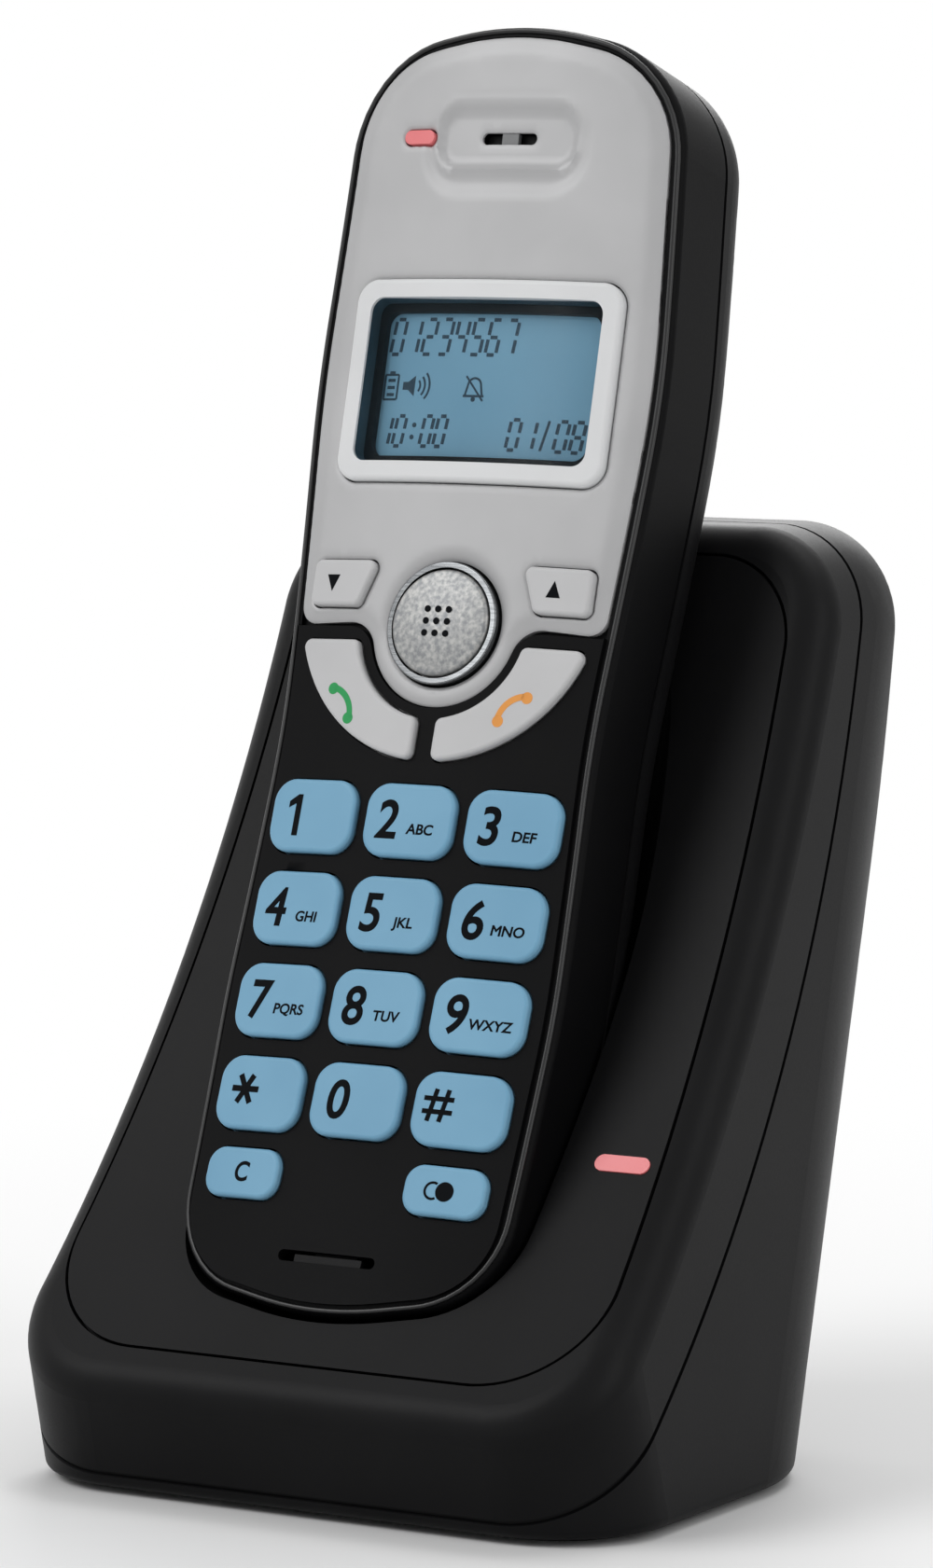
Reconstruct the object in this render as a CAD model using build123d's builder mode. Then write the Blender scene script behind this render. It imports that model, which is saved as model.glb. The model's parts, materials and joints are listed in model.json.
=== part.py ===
from build123d import *
from functools import lru_cache, partial
from math import atan2, cos, degrees, radians, sin, sqrt
import os

# Cordless phone: a handset that leans back in the moulded pocket of a desk base.
# Millimetres. +Z is up, -Y is the front, +X is the right-hand side seen from the front.
# The origin lies on the desk, under the middle of the base.
# u, v and w are the handset's own directions: across, along and out of its front.

# Handset form
handset_lean = 17.6
handset_foot_y = -24.6
handset_foot_z = 21.8
handset_length = 163.0
foot_half_width = 23.0
hip_half_width = 23.9
hip_v = 40.0
waist_half_width = 22.5
waist_v = 74.0
chest_half_width = 25.2
chest_v = 117.0
shoulder_half_width = 23.2
foot_corner_radius = 12.0
head_corner_radius = 15.0
end_crown_radius = 45.0
end_crown_rise = 4.5
flank_radius = 160.0
bend_radius = 680.0
bend_v = 78.0
bend_angle = 8.0
crown_radius = 150.0
form_half_width = 34.0
form_depth = 40.0
back_depth = 21.2
back_depth_ends = 16.6
back_edge_radius = 6.0
front_depth = 11.5
shell_wall = 1.8
seat_gap = 0.05
face_wall = 2.2
rim_width = 1.5
rim_drop = 0.6
rim_edge_radius = 1.3
seam_width = 0.6
seam_depth = 0.45

# Silver faceplate and display
plate_recess = 1.2
plate_rise = 0.25
plate_gap = 0.2
plate_edge_v = 86.6
plate_fillet = 4.0
plate_edge_radius = 0.5
menu_v = 87.0
menu_apron_radius = 10.3
display_v = 117.4
bezel_width = 38.0
bezel_height = 25.4
bezel_corner = 3.0
bezel_border = 2.4
bezel_rise = 0.9
bezel_edge_radius = 0.6
lens_gap = 0.2
lens_thickness = 1.2
lens_sink = 0.3
lcd_margin = 1.2
lcd_thickness = 1.7
earpiece_v = 148.0
earpiece_dish = (24.0, 12.4)
earpiece_cup = (20.4, 8.2)
earpiece_slot = (7.8, 1.5)
dish_depth = 0.35
cup_depth = 0.5
speaker_radius = 9.0
speaker_thickness = 3.4
light_u = -12.6
light_length = 4.4
light_width = 1.7
light_rise = 0.2
mic_v = 7.8
mic_slot = (13.6, 1.4)
mic_radius = 3.0
mic_thickness = 2.4

# Keys
key_gap = 0.25
key_rise = 0.9
key_travel = 0.7
key_flange = 0.6
key_flange_thickness = 1.2
key_flange_gap = 0.2
key_edge_radius = 0.5
digit_pitch_u = 14.2
digit_pitch_v = 11.65
digit_first_v = 62.2
digit_size = (12.5, 9.2)
digit_corner = 3.0
function_v = 17.3
function_u = 14.3
function_size = (10.8, 6.2)
function_corner = 2.4
menu_radius = 6.7
menu_ring_radius = 7.7
menu_dome = 0.7
ring_rise = 0.6
ring_edge_radius = 0.2
arrow_v = 91.7
arrow_height = 5.8
arrow_outer_u = 19.8
arrow_inner_u = 11.4
arrow_slant = 1.1
arrow_corner = 1.0
call_outer_radius = 21.2
call_centre_v = 91.0
call_inner_radius = 11.9
call_top_v = 84.6
call_split = 1.4
call_corner = 1.0

# Handset insides
mat_gap = 0.3
mat_margin = 1.5
board_level = -8.2
board_thickness = 1.6
board_foot_v = 15.0
board_head_v = 95.0
board_half_width = 19.5
board_ribs_v = (30.0, 70.0)
rib_thickness = 1.6
post_radius = 2.5
post_level = -11.0
screw_radius = 1.1
screw_head_radius = 2.1
screw_head_height = 1.5
screw_gap = 0.05
screw_hole_gap = 0.2
screw_reach = -4.0
screw_seat = -13.0
low_screw = (14.5, 10.8)
high_screw = (18.6, 99.6)
cell_radius = 5.25
cell_length = 44.5
cell_button_radius = 1.9
cell_button_length = 1.0
cell_pitch = 10.9
cell_foot_v = 105.0
cell_level = -10.4
cell_plate = 0.5
cell_plate_side = 8.0
bay_gap = 0.25
bay_wall = 0.8
door_half_width = 15.5
door_foot_v = 103.0
door_head_v = 152.0
door_level = -16.0
door_gap = 0.2
door_tongue = 0.9
door_tongue_height = 1.0
tray_wall = 1.4
charge_pad_u = 8.0
charge_pad_v = 13.0
charge_pad_size = (6.0, 4.0)
charge_pad_thickness = 0.8

# Base form
foot_height = 0.8
foot_inset = 4.0
foot_width = 4.0
base_reach_z = 120.0
base_half_width = 43.0
base_half_width_top = 39.5
base_front_y = -32.5
base_front_slope = -0.29
base_rear_y = 33.7
base_rear_slope = 0.325
base_front_corner = 15.0
base_rear_corner = 28.0
base_top_z = 116.0
rear_wall_y = 35.0
rear_wall_slope = 0.137
top_corner_radius = 13.0
shoulder_radius = 5.0
rear_top_radius = 5.0
desk_edge_radius = 1.5
base_wall = 2.4
panel_foot = (-33.0, 18.5)
panel_head = (28.0, 112.8)
panel_radius = 243.0
parting_foot = (-33.3, 3.0)
parting_head = (35.0, 104.3)
parting_radius = 185.0
panel_half_width = 39.0
panel_half_width_top = 35.2
panel_foot_corner = 15.0
panel_head_corner = 12.0
panel_thickness = 2.2
panel_gap = 0.4
ledge_width = 2.5
ledge_thickness = 1.5
ledge_root = 2.0

# Pocket and base insides
pocket_clearance = 0.8
pocket_wall = 2.0
pocket_reach = 220.0
tub_reach = 98.0
base_light_x = 32.6
base_light_along = 32.0
base_light_size = (7.4, 2.2)
base_light_rise = 0.2
contact_size = (3.0, 2.4)
contact_gap = 0.4
contact_tail = 1.5
base_board_level = 8.0
base_board_thickness = 1.6
base_board_half_width = 24.0
base_board_front = -18.0
base_board_rear = 29.0
base_board_posts = ((19.0, -12.0), (19.0, 8.0))
base_post_radius = 3.0
base_screws_at = ((30.0, -16.0, 14.0), (30.0, 8.0, 58.0))
base_screw_radius = 1.4
base_screw_head_radius = 2.7
base_screw_head_height = 2.0
base_screw_grip = 4.0
base_screw_bite = 9.0
boss_wall = 1.6
jack_spread = 11.0
jack_sink = 0.45
line_jack_size = (14.0, 13.0, 13.5)
line_jack_mouth = (9.8, 7.2, 11.0)
power_jack_size = (9.0, 11.0, 13.5)
power_jack_bore = 2.75
power_jack_bore_depth = 9.0
power_jack_pin = 0.9
page_level = 66.0
page_radius = 5.0
page_rise = 1.2
page_edge_radius = 0.4
page_travel = 0.8
page_flange = 1.2
page_flange_thickness = 1.5
page_gap = 0.25
switch_size = (16.0, 9.0)
switch_thickness = 2.0
switch_post_x = 9.5
switch_post_size = (3.0, 6.0)

x_axis = (1, 0, 0)
lean_sin = sin(radians(handset_lean))
lean_cos = cos(radians(handset_lean))
handset_plane = Plane(
    origin=(0, handset_foot_y, handset_foot_z),
    x_dir=x_axis,
    z_dir=(0, -lean_cos, lean_sin),
)
handset_side = handset_plane.moved(Plane(origin=(0, 0, 0), x_dir=(0, 1, 0), z_dir=x_axis))
handset_normal = Axis(handset_plane.origin, handset_plane.z_dir)
back_bow = back_depth - back_depth_ends
back_radius = ((handset_length / 2) ** 2 + back_bow**2) / (2 * back_bow)
bend_axis = Axis(handset_plane.from_local_coords((0, bend_v, bend_radius)), x_axis)


def save(piece, name):
    """Label a finished piece and write it."""
    piece.part.label = name
    export_step(piece.part, f"parts/{name}.step")


def crown_height(offset, half_width):
    """Height of the crowned section, raised by an offset, at a distance from the middle."""
    return sqrt((crown_radius + offset) ** 2 - half_width**2) - crown_radius


@lru_cache(maxsize=None)
def face_layer(low, high):
    """Everything between two offsets of the handset's face, crowned across and dished along."""
    turn = radians(bend_angle)
    start = Plane(
        origin=(0, bend_v - bend_radius * sin(turn), bend_radius - bend_radius * cos(turn)),
        x_dir=x_axis,
        z_dir=(0, -cos(turn), sin(turn)),
    )
    reach = form_half_width
    with BuildPart(mode=Mode.PRIVATE) as layer:
        with BuildSketch(handset_plane.moved(start)):
            with BuildLine():
                low_edge = crown_height(low, reach)
                high_edge = crown_height(high, reach)
                ThreePointArc((-reach, low_edge), (0, low), (reach, low_edge))
                Line((reach, low_edge), (reach, high_edge))
                ThreePointArc((reach, high_edge), (0, high), (-reach, high_edge))
                Line((-reach, high_edge), (-reach, low_edge))
            make_face()
        revolve(axis=bend_axis, revolution_arc=2 * bend_angle)
    return layer.part


def hollow_of(solid, low, high):
    """The part of a solid that lies inside a face layer."""
    with BuildPart(mode=Mode.PRIVATE) as piece:
        add(solid)
        add(face_layer(low, high), mode=Mode.INTERSECT)
    return piece.part


def layer_of(sketch, low, high):
    """The part of a face layer that lies inside a flat outline."""
    with BuildPart(mode=Mode.PRIVATE) as piece:
        extrude(sketch, amount=form_depth, both=True)
        add(face_layer(low, high), mode=Mode.INTERSECT)
    return piece.part


def handset_outline(inset=0.0, on=handset_plane):
    """Hourglass front outline with crowned ends."""
    right = [
        (foot_half_width, end_crown_rise),
        (hip_half_width, hip_v),
        (waist_half_width, waist_v),
        (chest_half_width, chest_v),
        (shoulder_half_width, handset_length - end_crown_rise),
    ]
    radii = [foot_corner_radius, flank_radius, flank_radius, flank_radius, head_corner_radius]
    left = [(-u, v) for u, v in reversed(right)]
    corners = [(0, 0), *right, (0, handset_length), *left]
    with BuildSketch(on, mode=Mode.PRIVATE) as outline:
        with BuildLine():
            FilletPolyline(
                *corners,
                radius=[end_crown_radius, *radii, end_crown_radius, *reversed(radii)],
                close=True,
            )
        make_face()
        if inset:
            offset(amount=-inset)
    return outline.sketch


@lru_cache(maxsize=None)
def handset_body(inset):
    """The closed handset, shrunk by an inset all round except at its front."""
    deep = inset - back_depth
    shallow = inset - back_depth_ends
    with BuildPart(mode=Mode.PRIVATE) as body:
        extrude(handset_outline(inset), amount=form_depth, both=True)
        with BuildSketch(handset_side):
            with BuildLine():
                ThreePointArc((0, shallow), (handset_length / 2, deep), (handset_length, shallow))
                Polyline(
                    (handset_length, shallow),
                    (handset_length, form_depth),
                    (0, form_depth),
                    (0, shallow),
                )
            make_face()
        extrude(amount=form_half_width, both=True, mode=Mode.INTERSECT)
        back = body.faces().sort_by(handset_normal)[0]
        fillet(back.edges(), back_edge_radius - inset)
    return body.part


def outline_of(draw, grow=0.0, on=handset_plane):
    """A flat outline on the handset's plane, grown all round."""
    with BuildSketch(on, mode=Mode.PRIVATE) as outline:
        draw()
        if grow:
            offset(amount=grow)
    return outline.sketch


def pins(spots, radius, low, high):
    """Round pieces along the handset's front direction, between two flat levels."""
    with BuildPart(mode=Mode.PRIVATE) as pieces:
        with BuildSketch(handset_plane.offset(low)):
            with Locations(*spots):
                Circle(radius)
        extrude(amount=high - low)
    return pieces.part


def block(low_corner, high_corner):
    """A square-edged block in the handset's own directions."""
    sides = [high - low for low, high in zip(low_corner, high_corner)]
    middle = [(high + low) / 2 for low, high in zip(low_corner, high_corner)]
    with BuildPart(mode=Mode.PRIVATE) as piece:
        with BuildSketch(handset_plane.offset(low_corner[2])):
            with Locations((middle[0], middle[1])):
                Rectangle(sides[0], sides[1])
        extrude(amount=sides[2])
    return piece.part


def draw_pad(u, v, size, corner):
    """Rounded rectangle, as the keys, the bezel and the recesses have."""
    with Locations((u, v)):
        RectangleRounded(*size, corner)


def draw_slot(u, v, length, width):
    """Slot with round ends."""
    with Locations((u, v)):
        SlotOverall(length, width)


def draw_disc(u, v, radius):
    """Round outline."""
    with Locations((u, v)):
        Circle(radius)


def draw_plate():
    """Upper faceplate: the head of the handset and a round apron below the menu key."""
    with Locations((0, plate_edge_v + handset_length / 2)):
        Rectangle(2 * form_half_width, handset_length)
    with Locations((0, menu_v)):
        Circle(menu_apron_radius)
    lowest = vertices().group_by(Axis.Y)[0]
    fillet(lowest.sort_by(lambda corner: abs(corner.X))[:2], plate_fillet)
    add(plate_bounds, mode=Mode.INTERSECT)


def draw_arrow(side):
    """Four-sided arrow key whose inner edge slants away from the menu key."""
    low = arrow_v - arrow_height / 2
    high = arrow_v + arrow_height / 2
    Polygon(
        (side * arrow_outer_u, high),
        (side * (arrow_inner_u - arrow_slant), high),
        (side * (arrow_inner_u + arrow_slant), low),
        (side * arrow_outer_u, low),
        align=None,
    )
    fillet(vertices(), arrow_corner)


def draw_call(side):
    """Crescent call key below the apron of the faceplate."""
    reach = 2 * call_outer_radius
    with Locations((0, call_centre_v)):
        Circle(call_outer_radius)
    with Locations((0, menu_v)):
        Circle(call_inner_radius, mode=Mode.SUBTRACT)
    with Locations((side * (call_split + reach / 2), call_top_v - reach / 2)):
        Rectangle(reach, reach, mode=Mode.INTERSECT)
    fillet(vertices(), call_corner)


os.makedirs("parts", exist_ok=True)

# Outlines shared by the shells, the keys and what they fit
plate_bounds = handset_outline(rim_width + plate_gap, on=Plane.XY)
bezel_size = (bezel_width, bezel_height)
window_size = (bezel_width - 2 * bezel_border, bezel_height - 2 * bezel_border)
window_corner = bezel_corner - bezel_border / 2
lens_size = tuple(side - 2 * lens_gap for side in window_size)
lcd_view = tuple(side - 2 * lcd_margin for side in window_size)
draw_bezel = partial(draw_pad, 0, display_v, bezel_size, bezel_corner)
draw_window = partial(draw_pad, 0, display_v, window_size, window_corner)
draw_lens = partial(draw_pad, 0, display_v, lens_size, window_corner)
draw_view = partial(draw_pad, 0, display_v, lcd_view, window_corner)
draw_light = partial(draw_slot, light_u, earpiece_v, light_length, light_width)
draw_ring = partial(draw_disc, 0, menu_v, menu_ring_radius)
draw_menu = partial(draw_disc, 0, menu_v, menu_radius)
draw_ear_slot = partial(draw_slot, 0, earpiece_v, *earpiece_slot)
draw_mic_slot = partial(draw_slot, 0, mic_v, *mic_slot)
draw_ear_dish = partial(draw_pad, 0, earpiece_v, earpiece_dish, earpiece_dish[1] / 2.2)
draw_ear_cup = partial(draw_pad, 0, earpiece_v, earpiece_cup, earpiece_cup[1] / 2.5)

pad_keys = {}
digit_names = ["1", "2", "3", "4", "5", "6", "7", "8", "9", "star", "0", "hash"]
for place, name in enumerate(digit_names):
    row, column = divmod(place, 3)
    digit_u = (column - 1) * digit_pitch_u
    digit_v = digit_first_v - row * digit_pitch_v
    pad_keys[f"key_{name}"] = partial(draw_pad, digit_u, digit_v, digit_size, digit_corner)
for side, name in ((-1, "clear"), (1, "redial")):
    spot = (side * function_u, function_v)
    pad_keys[f"key_{name}"] = partial(draw_pad, *spot, function_size, function_corner)
pad_keys["talk_key"] = partial(draw_call, -1)
pad_keys["end_key"] = partial(draw_call, 1)
arrow_keys = {"key_down": partial(draw_arrow, -1), "key_up": partial(draw_arrow, 1)}

flange_top = -face_wall - key_flange_gap
key_floor = flange_top - key_flange_thickness
mat_top = key_floor - key_travel - mat_gap
under_face = -face_wall - seat_gap
plate_floor = -plate_recess + seat_gap
post_top = -(face_wall + plate_recess) / 2
screw_spots = [(side * u, v) for u, v in (low_screw, high_screw) for side in (-1, 1)]

with BuildPart() as handset_front_shell:
    add(handset_body(0.0))
    add(face_layer(-front_depth, -rim_drop), mode=Mode.INTERSECT)
    front = handset_front_shell.faces().sort_by(handset_normal)[-1]
    fillet(front.edges(), rim_edge_radius)
    add(layer_of(handset_outline(rim_width), -front_depth / 2, 0))
    add(hollow_of(handset_body(shell_wall), -form_depth, -face_wall), mode=Mode.SUBTRACT)
    add(layer_of(outline_of(draw_plate, plate_gap), -plate_recess, form_depth / 4), mode=Mode.SUBTRACT)
    with BuildSketch(handset_plane):
        for draw in (*pad_keys.values(), *arrow_keys.values(), draw_menu, draw_light):
            add(outline_of(draw, key_gap, Plane.XY))
        for draw in (draw_view, draw_ear_slot, draw_mic_slot):
            add(outline_of(draw, on=Plane.XY))
    extrude(amount=form_depth, both=True, mode=Mode.SUBTRACT)
    add(hollow_of(pins(screw_spots, post_radius, post_level, form_depth), -form_depth, post_top))
    add(pins(screw_spots, screw_radius + screw_gap, post_level, screw_reach), mode=Mode.SUBTRACT)

save(handset_front_shell, "handset_front_shell")


def inside_body(solid, inset):
    """The part of a solid that lies inside the handset, shrunk by an inset."""
    with BuildPart(mode=Mode.PRIVATE) as piece:
        add(solid)
        add(handset_body(inset), mode=Mode.INTERSECT)
    return piece.part


def back_level(v):
    """Level of the handset's bowed back at a place along it."""
    return back_radius - back_depth - sqrt(back_radius**2 - (v - handset_length / 2) ** 2)


def seam_ring():
    """Shadow groove round the handset, behind the front shell's edge."""
    low = -front_depth - seam_width
    with BuildPart(mode=Mode.PRIVATE) as ring:
        add(layer_of(handset_outline(), low, -front_depth))
        extrude(handset_outline(seam_depth), amount=form_depth, both=True, mode=Mode.SUBTRACT)
    return ring.part


def door_slide(gap):
    """Sliding door with a tongue along each side, or its channel where there is no gap."""
    half = door_half_width - gap
    head = handset_length if gap == 0 else door_head_v
    tongue_low = door_level - gap - door_tongue_height
    with BuildPart(mode=Mode.PRIVATE) as slide:
        add(block((-half, door_foot_v + gap, -form_depth), (half, head, door_level - gap)))
        add(
            block(
                (-half - door_tongue, door_foot_v + gap, tongue_low + gap - door_gap),
                (half + door_tongue, head, door_level - gap),
            )
        )
    return inside_body(slide.part, 0.0)


def cell_bay(grow):
    """Space for the two cells and their end plates, grown by a wall."""
    half = cell_pitch / 2 + cell_radius + bay_gap + grow
    foot = cell_foot_v - cell_plate - grow
    head = cell_foot_v + cell_length + cell_button_length + cell_plate + grow
    floor = cell_level + cell_radius + bay_gap + grow
    return block((-half, foot, -form_depth), (half, head, floor))


def charge_pad(side, gap):
    """Contact pad let into the back, near the foot."""
    length, height = charge_pad_size
    u = side * charge_pad_u
    level = back_level(charge_pad_v) + charge_pad_thickness + gap
    low = (u - length / 2 - gap, charge_pad_v - height / 2 - gap, -form_depth)
    high = (u + length / 2 + gap, charge_pad_v + height / 2 + gap, level)
    return inside_body(block(low, high), 0.0)


with BuildPart() as handset_back_shell:
    add(handset_body(0.0))
    add(face_layer(-form_depth, -front_depth), mode=Mode.INTERSECT)
    add(handset_body(shell_wall), mode=Mode.SUBTRACT)
    add(seam_ring(), mode=Mode.SUBTRACT)
    add(inside_body(pins(screw_spots, post_radius, -form_depth, post_level), shell_wall / 2))
    for v in board_ribs_v:
        rib_low = (-board_half_width, v - rib_thickness / 2, -form_depth)
        rib_high = (board_half_width, v + rib_thickness / 2, board_level - board_thickness)
        add(inside_body(block(rib_low, rib_high), shell_wall / 2))
    tray_half = door_half_width + door_tongue + tray_wall
    tray_low = (-tray_half, door_foot_v - tray_wall, -form_depth)
    tray_high = (tray_half, handset_length, door_level + tray_wall)
    add(inside_body(block(tray_low, tray_high), shell_wall / 2))
    add(inside_body(cell_bay(bay_wall), shell_wall / 2))
    add(door_slide(0.0), mode=Mode.SUBTRACT)
    add(cell_bay(0.0), mode=Mode.SUBTRACT)
    add(pins(screw_spots, screw_radius + screw_hole_gap, -form_depth, post_level), mode=Mode.SUBTRACT)
    add(pins(screw_spots, screw_head_radius + screw_hole_gap, -form_depth, screw_seat), mode=Mode.SUBTRACT)
    for side in (-1, 1):
        add(charge_pad(side, seat_gap), mode=Mode.SUBTRACT)

save(handset_back_shell, "handset_back_shell")

with BuildPart() as battery_door:
    add(door_slide(door_gap))

save(battery_door, "battery_door")

with BuildPart() as handset_charge_contacts:
    for side in (-1, 1):
        add(charge_pad(side, 0.0))

save(handset_charge_contacts, "handset_charge_contacts")

with BuildPart() as handset_screws:
    add(pins(screw_spots, screw_head_radius, screw_seat - screw_head_height, screw_seat))
    add(pins(screw_spots, screw_radius, screw_seat, screw_reach - seat_gap))

save(handset_screws, "handset_screws")

with BuildPart() as faceplate:
    add(layer_of(outline_of(draw_plate), plate_floor, plate_rise))
    top = faceplate.faces().sort_by(handset_normal)[-1]
    fillet(top.edges(), plate_edge_radius)
    dish_floor = plate_rise - dish_depth
    add(layer_of(outline_of(draw_ear_dish), dish_floor, form_depth / 4), mode=Mode.SUBTRACT)
    add(layer_of(outline_of(draw_ear_cup), dish_floor - cup_depth, form_depth / 4), mode=Mode.SUBTRACT)
    with BuildSketch(handset_plane):
        for draw in (*arrow_keys.values(), draw_ring, draw_light):
            add(outline_of(draw, key_gap, Plane.XY))
        add(outline_of(draw_bezel, lens_gap, Plane.XY))
        add(outline_of(draw_ear_slot, on=Plane.XY))
    extrude(amount=form_depth, both=True, mode=Mode.SUBTRACT)

save(faceplate, "faceplate")

with BuildPart() as display_bezel:
    add(layer_of(outline_of(draw_bezel), plate_floor, plate_rise + bezel_rise))
    top = display_bezel.faces().sort_by(handset_normal)[-1]
    fillet(top.edges(), bezel_edge_radius)
    extrude(outline_of(draw_window), amount=form_depth, both=True, mode=Mode.SUBTRACT)

save(display_bezel, "display_bezel")

with BuildPart() as display_lens:
    lens_top = plate_rise + bezel_rise - lens_sink
    add(layer_of(outline_of(draw_lens), plate_floor, lens_top))

save(display_lens, "display_lens")

with BuildPart() as lcd_panel:
    add(layer_of(outline_of(draw_window), under_face - lcd_thickness, under_face))

save(lcd_panel, "lcd_panel")

with BuildPart() as handset_light_lens:
    lens_floor = under_face - key_flange_thickness
    add(layer_of(outline_of(draw_light), lens_floor, plate_rise + light_rise))
    add(layer_of(outline_of(draw_light, key_flange), lens_floor, under_face))

save(handset_light_lens, "handset_light_lens")

with BuildPart() as earpiece_speaker:
    add(layer_of(outline_of(partial(draw_disc, 0, earpiece_v, speaker_radius)), under_face - speaker_thickness, under_face))

save(earpiece_speaker, "earpiece_speaker")

with BuildPart() as microphone:
    add(layer_of(outline_of(partial(draw_disc, 0, mic_v, mic_radius)), under_face - mic_thickness, under_face))

save(microphone, "microphone")


def make_key(draw, low_face):
    """A key cap that stands in its hole, with a flange that holds it under the shell."""
    with BuildPart(mode=Mode.PRIVATE) as key:
        add(layer_of(outline_of(draw), key_floor, low_face + key_rise))
        top = key.faces().sort_by(handset_normal)[-1]
        fillet(top.edges(), key_edge_radius)
        add(layer_of(outline_of(draw, key_flange), key_floor, flange_top))
    return key


for name, draw in pad_keys.items():
    save(make_key(draw, 0), name)
for name, draw in arrow_keys.items():
    save(make_key(draw, plate_rise), name)

with BuildPart() as menu_key_ring:
    add(layer_of(outline_of(draw_ring), plate_floor, plate_rise + ring_rise))
    top = menu_key_ring.faces().sort_by(handset_normal)[-1]
    fillet(top.edges(), ring_edge_radius)
    extrude(outline_of(draw_menu, key_gap), amount=form_depth, both=True, mode=Mode.SUBTRACT)

save(menu_key_ring, "menu_key_ring")

menu_top = plate_rise + key_rise
menu_axis_plane = handset_plane.moved(Plane(origin=(0, menu_v, 0), x_dir=x_axis, z_dir=(0, -1, 0)))
menu_axis = Axis(handset_plane.from_local_coords((0, menu_v, 0)), handset_plane.z_dir)

with BuildPart() as menu_key:
    with BuildSketch(menu_axis_plane):
        with BuildLine():
            dome_chord = (menu_radius, menu_top)
            dome_angle = 2 * degrees(atan2(menu_dome, menu_radius))
            Polyline((0, menu_top + menu_dome), (0, key_floor), (menu_radius, key_floor), dome_chord)
            JernArc((0, menu_top + menu_dome), (1, 0), menu_radius / sin(radians(dome_angle)), -dome_angle)
        make_face()
    revolve(axis=menu_axis)
    rounds = menu_key.edges().filter_by(lambda edge: edge.is_closed)
    fillet(rounds.sort_by(handset_normal)[-1], key_edge_radius)
    add(pins([(0, menu_v)], menu_radius + key_flange, key_floor, flange_top))

save(menu_key, "menu_key")

with BuildPart() as handset_board:
    add(
        block(
            (-board_half_width, board_foot_v, board_level - board_thickness),
            (board_half_width, board_head_v, board_level),
        )
    )
    fillet(handset_board.edges().filter_by(handset_normal), board_thickness)

save(handset_board, "handset_board")

with BuildPart() as keypad_mat:
    add(
        block(
            (-board_half_width + mat_margin, board_foot_v + mat_margin, board_level),
            (board_half_width - mat_margin, board_head_v - mat_margin, form_depth),
        )
    )
    add(face_layer(-form_depth, mat_top), mode=Mode.INTERSECT)

save(keypad_mat, "keypad_mat")


def cell_plane(side, v):
    """Cross-section plane of one cell."""
    return handset_plane.moved(Plane(origin=(side * cell_pitch / 2, v, cell_level), x_dir=x_axis, z_dir=(0, 1, 0)))


with BuildPart() as battery_cells:
    for side in (-1, 1):
        with BuildSketch(cell_plane(side, cell_foot_v)):
            Circle(cell_radius)
        extrude(amount=cell_length)
        with BuildSketch(cell_plane(side, cell_foot_v + cell_length)):
            Circle(cell_button_radius)
        extrude(amount=cell_button_length)

save(battery_cells, "battery_cells")

with BuildPart() as battery_contacts:
    for side in (-1, 1):
        for v in (cell_foot_v - cell_plate, cell_foot_v + cell_length + cell_button_length):
            with BuildSketch(cell_plane(side, v)):
                Rectangle(cell_plate_side, cell_plate_side)
            extrude(amount=cell_plate)

save(battery_contacts, "battery_contacts")


def arc_centre(foot, head, radius):
    """Centre of a side-view arc that bows backwards from its foot to its head."""
    span = Vector(0, head[0] - foot[0], head[1] - foot[1])
    middle = Vector(0, foot[0] + head[0], foot[1] + head[1]) / 2
    forward = Vector(0, -span.Z, span.Y).normalized()
    return middle + forward * sqrt(radius**2 - (span.length / 2) ** 2)


panel_centre = arc_centre(panel_foot, panel_head, panel_radius)
parting_centre = arc_centre(parting_foot, parting_head, parting_radius)
panel_along = Vector(0, panel_head[0] - panel_foot[0], panel_head[1] - panel_foot[1])
panel_plane = Plane(
    origin=(0, *panel_foot),
    x_dir=x_axis,
    z_dir=Vector(1, 0, 0).cross(panel_along),
)
side_plane = Plane.YZ


def drum(centre, radius):
    """Solid round bar across the base, whose skin is a concave side-view arc."""
    with BuildPart(mode=Mode.PRIVATE) as bar:
        with BuildSketch(side_plane):
            with Locations((centre.Y, centre.Z)):
                Circle(radius)
        extrude(amount=base_half_width + form_half_width, both=True)
    return bar.part


def base_outline(z, inset):
    """Plan of the base at a height: rounded front corners and a deeper round rear."""
    rise = z / base_reach_z
    half = base_half_width + (base_half_width_top - base_half_width) * rise - inset
    front = base_front_y + base_front_slope * z + inset
    rear = base_rear_y + base_rear_slope * z - inset
    front_corner = base_front_corner - inset
    rear_corner = base_rear_corner - inset
    with BuildSketch(Plane.XY.offset(z), mode=Mode.PRIVATE) as outline:
        with BuildLine():
            FilletPolyline(
                (-half, front),
                (half, front),
                (half, rear),
                (-half, rear),
                radius=[front_corner, front_corner, rear_corner, rear_corner],
                close=True,
            )
        make_face()
    return outline.sketch


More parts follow.
